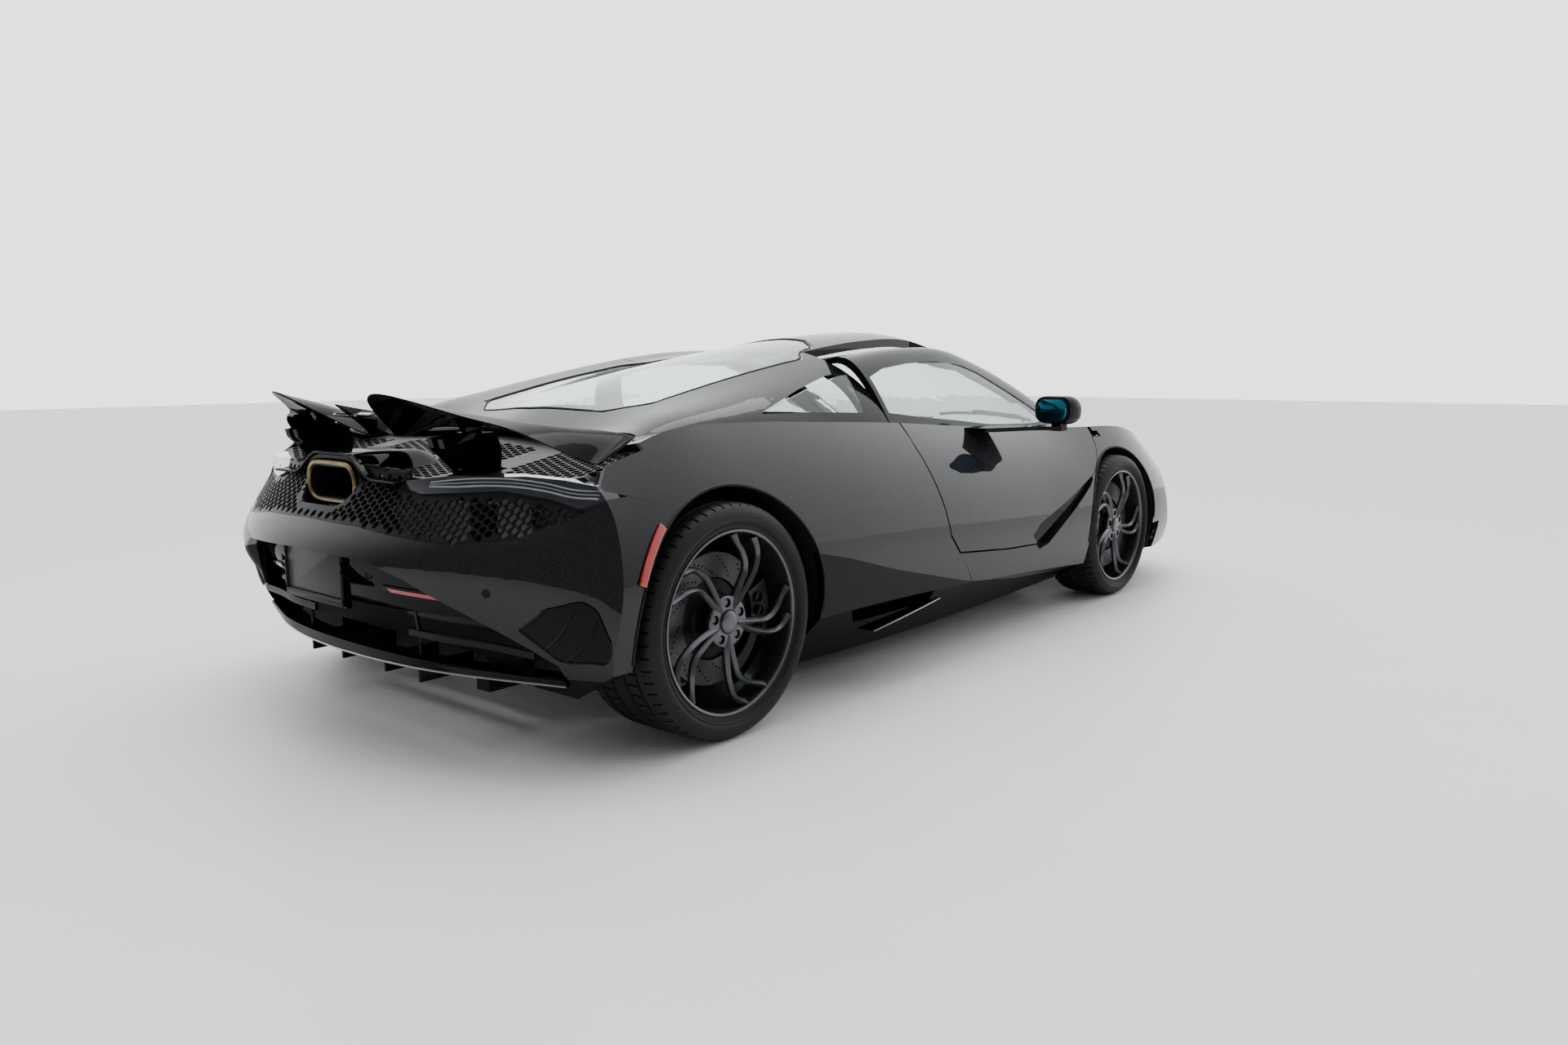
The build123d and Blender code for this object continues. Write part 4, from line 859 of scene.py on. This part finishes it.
def makeExhaustHump():
    # gloss cover that rises over the exhaust and runs down to the lamps
    low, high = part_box("exhaust_outlet")
    freshSelection()
    bpy.ops.mesh.primitive_grid_add(x_subdivisions=14, y_subdivisions=56, size=1.0)
    hump = named("exhaustHump")
    for vert in hump.data.vertices:
        x = low.x - 0.003 + (vert.co.x + 0.5) * humpLook["long"]
        y = vert.co.y * 2 * humpLook["halfWide"]
        side = eased((abs(y) - humpLook["flatHalf"]) / humpLook["shoulder"])
        z = humpLook["top"] + (humpLook["foot"] - humpLook["top"]) * side
        sink = eased((x - high.x - 0.004) / humpLook["sinkOver"])
        vert.co = (x, y, z + (humpLook["end"] - z) * sink)
    if hump.data.polygons[0].normal.z < 0:
        hump.data.flip_normals()
    shell = hump.modifiers.new("thickness", "SOLIDIFY")
    shell.thickness, shell.offset = humpLook["thick"], -1.0
    applyAll(hump)
    softenEdges(hump, 0.0025, 3, angle=50)
    fitted(hump, glossBlack)


lipLook = {"low": 0.237, "high": 0.262, "end": 0.80, "thick": 0.010, "edgeThick": 0.0036,
           "slats": {"tailSlatUpper": (0.392, (0.645, 0.385)), "tailSlatLower": (0.330, (0.735, 0.322))},
           "slatPath": [(-2.080, 0.265), (-2.068, 0.42), (-2.040, 0.56)], "slatEndX": -2.005,
           "post": [(-2.072, 0.305, 0.262), (-2.076, 0.305, 0.34), (-2.085, 0.300, 0.43)],
           "wallX": -1.955, "wall": [(-0.62, 0.264), (0.62, 0.264), (0.60, 0.402), (-0.60, 0.402)]}


def makeLip():
    # thin blade along the foot of the tail, two slats and the wall behind them
    nodes = ["diffuser", "rear_bumper"]
    end, low, high = lipLook["end"], lipLook["low"], lipLook["high"]
    blade = patch("tailLip", nodes, "back", [(-end, low), (end, low)], [(-end, high), (end, high)],
                  lipLook["thick"], proud=0.0, across=90, up=3, round=0.003)
    fitted(blade, glossBlack)
    edge = lineOn("tailLipEdge", nodes, "back", [(end * k / 20, low + 0.003) for k in range(-20, 21)],
                  lipLook["edgeThick"], proud=lipLook["thick"])
    fitted(edge, brightEdge)
    for name, (height, ends) in lipLook["slats"].items():
        points = [(x, y, height) for x, y in lipLook["slatPath"]] + [(lipLook["slatEndX"], *ends)]
        slat = tube(name, points, 0.0045, tall=0.008)
        bothSides(slat, glossBlack)
    post = tube("tailSlatPost", lipLook["post"], 0.006)
    bothSides(post, glossBlack)
    wall = plate("tailRecessWall", [(lipLook["wallX"], y, z) for y, z in lipLook["wall"]], (0.006, 0, 0))
    softenEdges(wall, 0.002)
    fitted(wall, matteBlack)


pocketLook = {"lower": [(-2.046, 0.398), (-1.985, 0.316), (-1.936, 0.322)],
              "upper": [(-2.042, 0.410), (-2.024, 0.458), (-1.975, 0.482), (-1.953, 0.460), (-1.934, 0.375)],
              "thick": 0.0020, "rimThick": 0.0040, "slatThick": 0.0030, "slatsAt": (0.42, 0.70)}


def makeSidePockets():
    nodes, lower, upper = ["rear_bumper"], pocketLook["lower"], pocketLook["upper"]
    inlay = patch("sidePocket", nodes, "right", lower, upper, pocketLook["thick"], proud=0.0004, across=36,
                  up=12)
    bothSides(inlay, matteBlack)
    loop = [along(lower, k / 10) for k in range(11)] + [along(upper, 1 - k / 14) for k in range(15)]
    rim = lineOn("sidePocketRim", nodes, "right", loop, pocketLook["rimThick"], proud=0.001)
    bothSides(rim, glossBlack)
    for number, share in enumerate(pocketLook["slatsAt"]):
        low, high = along(lower, share), along(upper, share)
        slat = lineOn("sidePocketSlat" + str(number + 1), nodes, "right",
                      [low.lerp(high, k / 6) for k in range(7)], pocketLook["slatThick"], proud=0.003)
        bothSides(slat, glossBlack)


archShadeLook = {"Rear": {"nodes": ["rear_clamshell", "rear_bumper", "side_skirts"], "grow": 0.0475,
                     "turn": (-14, 196)},
            "Front": {"nodes": ["front_fenders", "front_bumper", "side_skirts"], "grow": 0.0385,
                      "turn": (-20, 200)}}


# the satin black line over each arch is painted shade: the arch edge there is body paint turned downwards
def makeArchShadeLines():
    for end, arch in archShadeLook.items():
        low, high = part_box("tyre_" + end.lower() + "_right")
        centre = ((low.x + high.x) / 2, (low.z + high.z) / 2)
        points = arcPoints(centre, (high.z - low.z) / 2 + arch["grow"], *arch["turn"], 44)
        lip = lineOn("archShadeLine" + end, arch["nodes"], "right", points, 0.0042)
        bothSides(lip, satinBlack)


finLook = {"outline": [(-0.800, -0.90, 0.196), (-0.40, -0.915, 0.226), (-0.36, -0.950, 0.236),
                       (-0.50, -0.985, 0.240), (-0.66, -0.990, 0.224), (-0.800, -0.965, 0.196)], "thick": 0.006,
           "edge": [(-0.800, -0.966, 0.198), (-0.66, -0.991, 0.226), (-0.50, -0.986, 0.242),
                    (-0.37, -0.952, 0.238)], "edgeThick": 0.0022}


def makeSkirtFins():
    fin = plate("skirtFin", finLook["outline"], (0, 0, finLook["thick"]))
    softenEdges(fin, 0.002, 3)
    bothSides(fin, glossBlack)
    edge = tube("skirtFinEdge", finLook["edge"], finLook["edgeThick"])
    bothSides(edge, brightEdge)


wingLensLook = {"half": 0.105, "low": 0.930, "high": 0.942, "thick": 0.0018,
                "frameHalf": 0.111, "frameLow": 0.928, "frameHigh": 0.944, "frameThick": 0.0014}


def makeWingLens():
    half, low, high = wingLensLook["half"], wingLensLook["low"], wingLensLook["high"]
    lens = patch("wingLens", ["wing"], "back", [(-half, low), (half, low)], [(-half, high), (half, high)],
                 wingLensLook["thick"], across=16, up=3)
    fitted(lens, smokedLens, body="wing")
    half, low, high = wingLensLook["frameHalf"], wingLensLook["frameLow"], wingLensLook["frameHigh"]
    loop = [(-half, low), (0, low), (half, low), (half, high), (0, high), (-half, high), (-half, low)]
    frameLine = lineOn("wingLensFrame", ["wing"], "back", loop, wingLensLook["frameThick"], proud=0.0006)
    fitted(frameLine, satinBlack, body="wing")


makeExhaustHump()
makeLip()
makeSidePockets()
makeArchShadeLines()
makeSkirtFins()
makeWingLens()
print("tail body made")


# mirrors and door cards, made on the right door
def onDoors(piece, material):
    bothSides(piece, material, "door_right", "door_left")


mirrorLook = {"y": -1.010, "z": 0.893, "halfWide": 0.062, "halfHigh": 0.041, "corner": 0.030,
              "layers": {"mirrorBezel": (0.008, 0.004, satinBlack), "mirrorGlass": (0.0, 0.0065, mirrorBlue)},
              "seamStart": (0.362, 0.868), "seamStep": (0.013, -0.0012), "seamThick": 0.0014}


def makeMirrors():
    y, z = mirrorLook["y"], mirrorLook["z"]
    x = touch(["mirror_right"], "back", y, z).x
    for name, (grow, thick, material) in mirrorLook["layers"].items():
        outline = ovalPath(x, mirrorLook["halfWide"] + grow, mirrorLook["halfHigh"] + grow,
                           mirrorLook["corner"] + grow, z, 6, y)
        face = plate(name, outline, (-thick, 0, 0))
        softenEdges(face, 0.0012)
        onDoors(face, material)
    (startX, startZ), (stepX, stepZ) = mirrorLook["seamStart"], mirrorLook["seamStep"]
    seam = lineOn("mirrorSeam", ["mirror_right"], "right",
                  [(startX + stepX * k, startZ + stepZ * k) for k in range(11)], mirrorLook["seamThick"])
    onDoors(seam, matteBlack)


doorLook = {"cardFoot": [(-0.26, 0.44), (0.20, 0.42), (0.62, 0.54)],
            "cardTop": [(-0.33, 0.77), (0.20, 0.76), (0.86, 0.73)], "cardThick": 0.006,
            "rest": [(-0.25, 0.60), (-0.05, 0.585), (0.18, 0.585), (0.40, 0.61), (0.60, 0.66)],
            "restThick": 0.024, "restSizes": [0.7, 1.0, 1.0, 0.9, 0.5],
            "pull": [(0.02, 0.66), (0.10, 0.675), (0.20, 0.68), (0.30, 0.675)], "pullThick": 0.006}


def makeDoorCards():
    nodes = ["door_right"]
    card = patch("doorCard", nodes, "inside", doorLook["cardFoot"], doorLook["cardTop"], doorLook["cardThick"],
                 across=40, up=12)
    onDoors(card, trimLeather)
    rest = lineOn("doorArmrest", nodes, "inside", doorLook["rest"], doorLook["restThick"], proud=0.016,
                  sizes=doorLook["restSizes"])
    onDoors(rest, trimLeather)
    pull = lineOn("doorPull", nodes, "inside", doorLook["pull"], doorLook["pullThick"], proud=0.018)
    onDoors(pull, castAlloy)


makeMirrors()
makeDoorCards()
print("mirrors and door cards made")

# nose and headlamps; the lamps' points are (x, y) seen from above
noseLook = {"splitterHalf": 0.78, "splitterZ": 0.135, "splitterThick": 0.007,
            "vanesAt": (0.30, 0.52), "vaneHeights": (0.198, 0.24, 0.29, 0.325), "vaneThick": 0.006}


def makeNose():
    half, z = noseLook["splitterHalf"], noseLook["splitterZ"]
    splitter = lineOn("noseSplitter", ["front_bumper"], "front", [(half * k / 20, z) for k in range(-20, 21)],
                      noseLook["splitterThick"], proud=-0.002)
    fitted(splitter, glossBlack)
    for number, y in enumerate(noseLook["vanesAt"]):
        vane = lineOn("noseVane" + str(number + 1), ["front_bumper", "front_grille"], "front",
                      [(-y, z) for z in noseLook["vaneHeights"]], noseLook["vaneThick"], proud=-0.004)
        bothSides(vane, glossBlack)
    makeHoneycomb("noseHoneycomb")


lampLook = {"nodes": ["headlamps"],
            "inner": [(1.725, -0.702), (1.830, -0.648), (1.960, -0.570), (2.026, -0.548)],
            "outer": [(1.768, -0.750), (1.893, -0.736), (1.998, -0.642), (2.030, -0.556)], "thick": 0.0016,
            "runner": [(1.775, -0.742), (1.83, -0.741), (1.888, -0.728), (1.945, -0.684), (1.992, -0.636),
                       (2.018, -0.580)], "runnerThick": 0.0030,
            "units": ((1.812, -0.694, 0.019), (1.868, -0.672, 0.017), (1.922, -0.640, 0.015)),
            "ringThick": 0.0028, "ringShift": (0.001, 0, 0.002), "ringTurn": (0, 24, -14),
            "lensSmaller": 0.003, "lensSink": 0.004, "lensFlat": 0.55}


def makeHeadlamps():
    nodes = lampLook["nodes"]
    socket = patch("lampSocket", nodes, "top", lampLook["inner"], lampLook["outer"], lampLook["thick"],
                   proud=0.0004, across=40, up=10)
    bothSides(socket, glossBlack)
    runner = lineOn("lampRunner", nodes, "top", lampLook["runner"], lampLook["runnerThick"], proud=0.0020)
    bothSides(runner, lampGuide)
    for number, (x, y, radius) in enumerate(lampLook["units"]):
        place = touch(nodes, "top", x, y)
        freshSelection()
        bpy.ops.mesh.primitive_torus_add(major_segments=40, minor_segments=10, major_radius=radius,
                                         minor_radius=lampLook["ringThick"],
                                         location=place + Vector(lampLook["ringShift"]),
                                         rotation=[math.radians(turn) for turn in lampLook["ringTurn"]])
        ring = named("lampRing" + str(number + 1))
        setPlace(ring)
        bothSides(ring, castAlloy)
        freshSelection()
        bpy.ops.mesh.primitive_uv_sphere_add(segments=32, ring_count=16,
                                             radius=radius - lampLook["lensSmaller"],
                                             location=place - Vector((0, 0, lampLook["lensSink"])))
        lens = named("lampLens" + str(number + 1))
        setPlace(lens)
        flatter = Matrix.Scale(lampLook["lensFlat"], 4, (0, 0, 1))
        lens.data.transform(Matrix.Translation(place) @ flatter @ Matrix.Translation(-place))
        bothSides(lens, smokedLens)


makeNose()
makeHeadlamps()
print("nose made")

padLook = {"cuts": 22, "fill": 0.7, "seamDeep": 0.0045, "seamWide": 0.006, "pinch": 0.035, "sag": 0.3}


def pad(name, size, place, lean=0.0, channels=0, crown=0.010, square=5.0):
    # soft form: a rounded block that swells in the middle and is pulled in along its sewn channels
    freshSelection()
    bpy.ops.mesh.primitive_cube_add(size=2.0)
    bpy.ops.object.mode_set(mode="EDIT")
    bpy.ops.mesh.select_all(action="SELECT")
    bpy.ops.mesh.subdivide(number_cuts=padLook["cuts"])
    bpy.ops.object.mode_set(mode="OBJECT")
    piece = named(name)
    length, width, thick = size
    for vert in piece.data.vertices:
        u, v, w = vert.co
        around = (abs(u) ** square + abs(v) ** square + abs(w) ** square) ** (1 / square)
        u, v, w = u / around, v / around, w / around
        swell = crown * (1 - u * u) * (1 - v * v)
        seam = 0.0
        for k in range(1, channels + 1):
            off = (u - (-1 + 2 * k / (channels + 1))) * length / 2 / padLook["seamWide"]
            seam += padLook["seamDeep"] * math.exp(-off ** 2) * (1 - v ** 6)
        pinch = 1.0 - padLook["pinch"] * (1 - abs(u)) * (1 - w * w)
        vert.co = (u * length / 2, v * width / 2 * pinch,
                   w * thick / 2 + (swell - seam if w > 0 else -padLook["sag"] * swell))
    piece.data.transform(Matrix.Translation(place) @ Matrix.Rotation(math.radians(lean), 4, "Y"))
    return piece


# seats: soft pads on a shell; each pad has its size, its place beside the seat's middle and its lean
seatLook = {"middle": 0.35, "half": 0.195, "shellSoft": 0.014,
            "shell": [(-0.045, 0.160), (-0.055, 0.215), (-0.440, 0.205), (-0.706, 0.842), (-0.738, 0.836),
                      (-0.562, 0.260), (-0.515, 0.160)],
            "pads": {"seatCushion": ((0.370, 0.270, 0.085), (-0.235, 0.236), -3.0, 4, 0.010),
                     "seatBack": ((0.500, 0.260, 0.070), (-0.570, 0.520), 66.5, 6, 0.008),
                     "seatHeadrest": ((0.125, 0.200, 0.048), (-0.700, 0.795), 67.0, 0, 0.006)},
            "bolsters": {"seatCushionBolster": ((0.350, 0.060, 0.095), (-0.245, 0.240), -3.0),
                         "seatBackBolster": ((0.400, 0.058, 0.095), (-0.545, 0.505), 66.5)},
            "bolsterOut": 0.160, "bolsterCrown": 0.006}


def makeSeats():
    made = []
    for side, tag in ((1, "Left"), (-1, "Right")):
        y = side * seatLook["middle"]
        shell = plate("seatShell" + tag, [(x, y - seatLook["half"], z) for x, z in seatLook["shell"]],
                      (0, 2 * seatLook["half"], 0))
        softenEdges(shell, seatLook["shellSoft"], 4, angle=25)
        made.append(fitted(shell, satinBlack))
        for name, (size, (x, z), lean, channels, crown) in seatLook["pads"].items():
            soft = pad(name + tag, size, (x, y, z), lean, channels, crown)
            made.append(fitted(soft, trimSuede, angle=60))
        for edge, mark in ((1, "Outer"), (-1, "Inner")):
            for name, (size, (x, z), lean) in seatLook["bolsters"].items():
                place = (x, y + side * edge * seatLook["bolsterOut"], z)
                soft = pad(name + mark + tag, size, place, lean, 0, seatLook["bolsterCrown"], 4.0)
                made.append(fitted(soft, trimLeather, angle=60))
    for piece in made:
        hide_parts("seats")
    print("seats made")


# steering wheel, modelled flat round the origin, then set on its column
steerLook = {"place": (0.470, 0.640), "axis": (-0.93, 0, 0.36), "radius": 0.158, "gripThick": 0.0135,
             "flatFrom": -0.120, "flatShare": 0.45, "spokeHalf": 0.017, "spokeThick": 0.012,
             "spokes": (((0.0, 0.045, 0.0), (0.010, 0.152, 0.004)),
                        ((0.0, -0.045, 0.0), (0.010, -0.152, 0.004)),
                        ((-0.040, 0.0, 0.0), (-0.132, 0.0, 0.004))),
             "hub": [(0.0, -0.030), (0.050, -0.030), (0.058, -0.022), (0.060, 0.000), (0.054, 0.011),
                     (0.020, 0.016), (0.0, 0.017)],
             "column": [(0.0, -0.125), (0.027, -0.125), (0.027, -0.060), (0.033, -0.045), (0.033, -0.020),
                        (0.0, -0.020)]}


def makeSteeringWheel():
    freshSelection()
    bpy.ops.mesh.primitive_torus_add(major_segments=72, minor_segments=14, major_radius=steerLook["radius"],
                                     minor_radius=steerLook["gripThick"])
    grip = named("steeringGrip")
    flat = steerLook["flatFrom"]
    for vert in grip.data.vertices:
        if vert.co.x < flat:
            vert.co.x = flat + (vert.co.x - flat) * steerLook["flatShare"]
    spokes = []
    for a, b in steerLook["spokes"]:
        start, end = Vector(a), Vector(b)
        side = Vector((end.y - start.y, start.x - end.x, 0)).normalized() * steerLook["spokeHalf"]
        outline = [start - side * 1.3, end - side * 0.8, end + side * 0.8, start + side * 1.3]
        spoke = plate("steeringSpoke", outline, (0, 0, -steerLook["spokeThick"]))
        softenEdges(spoke, 0.003, 3)
        spokes.append(spoke)
    hub = turned("steeringHub", steerLook["hub"], 48, closed=False)
    column = turned("steeringColumn", steerLook["column"], 40, closed=False)
    axis, across = Vector(steerLook["axis"]).normalized(), Vector((0, 1, 0))
    upward = across.cross(axis)
    x, z = steerLook["place"]
    place = Matrix(((upward.x, across.x, axis.x, x), (upward.y, across.y, axis.y, seatLook["middle"]),
                    (upward.z, across.z, axis.z, z), (0, 0, 0, 1)))
    spider = joined("steeringSpokes", spokes)
    for piece, material in ((grip, trimSuede), (spider, satinBlack), (hub, trimLeather), (column, satinBlack)):
        piece.data.transform(place)
        fitted(piece, material)
        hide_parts("steering_wheel")
    print("steering wheel made")


dashLook = {"binnacle": (0.13, 0.30, 0.050), "binnacleX": 0.665, "binnacleZ": 0.735, "binnacleLean": 6.0,
            "half": 0.50, "padFrom": 0.615, "padTo": 0.89, "padThick": 0.007, "seamX": 0.660,
            "seamThick": 0.0012,
            "screen": [(0.585, -0.070, 0.600), (0.585, 0.070, 0.600), (0.598, 0.070, 0.735),
                       (0.598, -0.070, 0.735)], "screenThick": 0.008,
            "vents": {"dashVentMiddle": (0.0, 0.560), "dashVentFar": (-0.42, 0.655),
                      "dashVentNear": (0.47, 0.655)},
            "ventHalf": 0.055, "ventRise": 0.014, "ventX": 0.566, "ventBow": 0.006, "ventSetBack": 0.008,
            "consoleHalf": 0.085, "console": [(-0.36, 0.155), (0.56, 0.155), (0.60, 0.40), (0.52, 0.52),
                                              (0.30, 0.36), (-0.30, 0.32)], "consoleSoft": 0.018}


def makeDashboard():
    nodes, half = ["dashboard"], dashLook["half"]
    binnacle = pad("dashBinnacle", dashLook["binnacle"],
                   (dashLook["binnacleX"], seatLook["middle"], dashLook["binnacleZ"]),
                   dashLook["binnacleLean"], 0, 0.006, 4.0)
    fitted(binnacle, trimSuede, angle=60)
    start, end = dashLook["padFrom"], dashLook["padTo"]
    cover = patch("dashPad", nodes, "top", [(start, -half), (start, half)], [(end, -half), (end, half)],
                  dashLook["padThick"], across=60, up=14, round=0.003)
    fitted(cover, trimSuede)
    seam = lineOn("dashSeam", nodes, "top", [(dashLook["seamX"], -half + half * k / 10) for k in range(21)],
                  dashLook["seamThick"], proud=0.0078)
    fitted(seam, trimLeather)
    screen = plate("dashScreen", dashLook["screen"], (-dashLook["screenThick"], 0, 0))
    softenEdges(screen, 0.003, 3)
    fitted(screen, glossBlack)
    for name, (y, foot) in dashLook["vents"].items():
        x = dashLook["ventX"] + (dashLook["ventSetBack"] if y else 0.0)
        for k in range(3):
            z = foot + dashLook["ventRise"] * k
            fin = tube(name + str(k + 1), [(x, y - dashLook["ventHalf"], z), (x - dashLook["ventBow"], y, z),
                                           (x, y + dashLook["ventHalf"], z)], 0.0018, tall=0.003)
            fitted(fin, satinBlack)
    console = plate("centreConsole", [(x, -dashLook["consoleHalf"], z) for x, z in dashLook["console"]],
                    (0, 2 * dashLook["consoleHalf"], 0))
    softenEdges(console, dashLook["consoleSoft"], 4, angle=25)
    fitted(console, trimLeather)
    print("dashboard made")


makeSeats()
makeSteeringWheel()
makeDashboard()

# rubber bands round the glass and wipers; (x, y) points seen from above, the bands' from the middle out
glassLook = {"screenHalf": [(0.338, 0.0), (0.343, 0.29), (0.360, 0.434), (0.455, 0.497), (0.752, 0.534),
                            (1.048, 0.578), (1.160, 0.591)],
             "rearHalf": [(-0.295, 0.0), (-0.310, 0.145), (-0.345, 0.292), (-0.426, 0.402), (-0.514, 0.414),
                          (-0.578, 0.472), (-0.900, 0.458), (-1.290, 0.436), (-1.390, 0.325), (-1.425, 0.0)],
             "bands": {"windscreenBand": ("windscreen", "screenHalf"),
                       "rearGlassBand": ("rear_glass", "rearHalf")},
             "bandThick": 0.0042,
             "wipers": {"wiperNear": ((1.150, -0.500), (1.128, 0.000)),
                        "wiperFar": ((1.158, 0.060), (1.120, 0.520))},
             "bladeThick": 0.0045, "bladeTall": 0.003, "armThick": 0.0055, "armFootX": 1.205}


def makeGlassEdges():
    for name, (node, key) in glassLook["bands"].items():
        line = [along(glassLook[key], k / 40) for k in range(41)]
        # the rear band's two halves share their last point
        back = line[:-1] if key == "rearHalf" else line
        points = [(p.x, p.y) for p in line] + [(p.x, -p.y) for p in reversed(back)]
        band = lineOn(name, [node, "roof_frame"], "top", points, glassLook["bandThick"], proud=0.0005)
        fitted(band, rubber)


def makeWipers():
    for name, (start, tip) in glassLook["wipers"].items():
        spots = [Vector(start).lerp(Vector(tip), k / 8) for k in range(9)]
        blade = lineOn(name, ["windscreen"], "top", spots, glassLook["bladeThick"], proud=0.009,
                       tall=glassLook["bladeTall"])
        fitted(blade, rubber)
        # the arm starts behind the glass edge and closes on the blade's middle
        foot = (glassLook["armFootX"], spots[0].y * 0.9 + 0.02)
        points = [foot] + [(spots[k].x + 0.012 * (1 - k / 5), spots[k].y) for k in range(1, 6)]
        arm = lineOn(name + "Arm", ["windscreen"], "top", points, glassLook["armThick"], proud=0.020)
        fitted(arm, satinBlack)


# engine cover; heights count from the top of the engine
engineLook = {"outline": [(-1.64, 0.20), (-1.58, 0.32), (-1.02, 0.34), (-0.95, 0.26)], "coverThick": 0.028,
              "rimWide": 0.030, "raised": 0.016, "ribFrom": -1.52, "ribStep": 0.09, "ribThick": 0.0085,
              "rib": [(0.0, 0.045, 0.046), (0.015, 0.13, 0.050), (0.045, 0.245, 0.043)],
              "spine": [(-1.56, 0, 0.044), (-1.30, 0, 0.058), (-1.02, 0, 0.044)], "spineThick": 0.022,
              "pipe": [(-0.99, 0.20, 0.050), (-1.00, 0.30, 0.090), (-1.10, 0.44, 0.085), (-1.22, 0.50, 0.040)],
              "pipeThick": 0.030}


def makeEngineCover():
    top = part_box("engine")[1].z
    half = engineLook["outline"]
    cover = plate("engineCover", [(x, -y, top) for x, y in half] + [(x, y, top) for x, y in reversed(half)],
                  (0, 0, engineLook["coverThick"]))
    pickFaces(cover, lambda centre, normal: normal.z > 0.9)
    bpy.ops.mesh.inset(thickness=engineLook["rimWide"])
    bpy.ops.mesh.extrude_region_move(TRANSFORM_OT_translate={"value": (0, 0, engineLook["raised"])})
    bpy.ops.object.mode_set(mode="OBJECT")
    softenEdges(cover, 0.006, 3, angle=30)
    fitted(cover, satinBlack)
    for k in range(6):
        start = engineLook["ribFrom"] + engineLook["ribStep"] * k
        rib = tube("engineRib" + str(k + 1), [(start + x, y, top + z) for x, y, z in engineLook["rib"]],
                   engineLook["ribThick"])
        bothSides(rib, castAlloy)
    spine = tube("engineSpine", [(x, y, top + z) for x, y, z in engineLook["spine"]], engineLook["spineThick"])
    fitted(spine, glossBlack)
    for side, tag in ((1, "Left"), (-1, "Right")):
        pipe = tube("intakePipe" + tag, [(x, side * y, top + z) for x, y, z in engineLook["pipe"]],
                    engineLook["pipeThick"])
        fitted(pipe, matteBlack)


makeGlassEdges()
makeWipers()
makeEngineCover()
print("glass edges and engine cover made")

# floor, sky, lamps and camera; the sky is bright towards brightWay and dim away from it
studio = {"floorSize": 60.0, "floorColour": (0.86, 0.86, 0.87), "skyColour": (0.97, 0.985, 1.0, 1),
          "skyStrength": 2.6, "skyDim": 0.28, "brightWay": (0.74, 0.62, 0.25), "dimUntil": -0.5,
          "brightFrom": 0.75,
          "lamps": {"softTop": ((0.0, 0.0, 5.0), 6.0, 130.0), "softSide": ((-1.5, -6.5, 3.4), 4.0, 22.0)},
          "lampShape": 0.4, "lampAim": (0, 0, 0.5),
          "cameraAt": (-3.7815, -3.076, 1.078), "cameraYaw": 39.93, "cameraPitch": -8.04, "cameraRoll": 0.21,
          "lens": 25.76, "sensor": 36.0}


def makeSky():
    world = bpy.data.worlds.new("studioWorld")
    bpy.context.scene.world = world
    world.use_nodes = True
    nodes, links = world.node_tree.nodes, world.node_tree.links
    back = nodes["Background"]
    coords = nodes.new("ShaderNodeTexCoord")
    facing = nodes.new("ShaderNodeVectorMath")
    facing.operation = "DOT_PRODUCT"
    facing.inputs[1].default_value = studio["brightWay"]
    links.new(coords.outputs["Generated"], facing.inputs[0])
    ramp = nodes.new("ShaderNodeMapRange")
    ramp.interpolation_type = "SMOOTHSTEP"
    ramp.inputs["From Min"].default_value = studio["dimUntil"]
    ramp.inputs["From Max"].default_value = studio["brightFrom"]
    ramp.inputs["To Min"].default_value = studio["skyDim"]
    ramp.inputs["To Max"].default_value = studio["skyStrength"]
    links.new(facing.outputs["Value"], ramp.inputs["Value"])
    links.new(ramp.outputs["Result"], back.inputs["Strength"])
    back.inputs["Color"].default_value = studio["skyColour"]


def makeStudio():
    freshSelection()
    bpy.ops.mesh.primitive_plane_add(size=studio["floorSize"], location=(0, 0, 0))
    floor = named("studioFloor")
    dress(floor, finish("floorPaint", studio["floorColour"], 0.5, grain=(2.0, 0.02), bump=(40.0, 0.02, 0.001)))
    makeSky()
    for name, (place, size, power) in studio["lamps"].items():
        bpy.ops.object.light_add(type="AREA", location=place)
        lamp = bpy.context.object
        lamp.name = name
        lamp.data.shape = "RECTANGLE"
        lamp.data.size = size
        lamp.data.size_y = size * studio["lampShape"]
        lamp.data.energy = power
        aim = Vector(studio["lampAim"]) - Vector(place)
        lamp.rotation_euler = aim.to_track_quat("-Z", "Y").to_euler()
    turn = (90 + studio["cameraPitch"], studio["cameraRoll"], studio["cameraYaw"] - 90)
    bpy.ops.object.camera_add(location=studio["cameraAt"], rotation=[math.radians(angle) for angle in turn])
    camera = bpy.context.object
    camera.name = "studioCamera"
    camera.data.lens = studio["lens"]
    camera.data.sensor_width = studio["sensor"]
    bpy.context.scene.camera = camera
    print("studio made")


makeStudio()
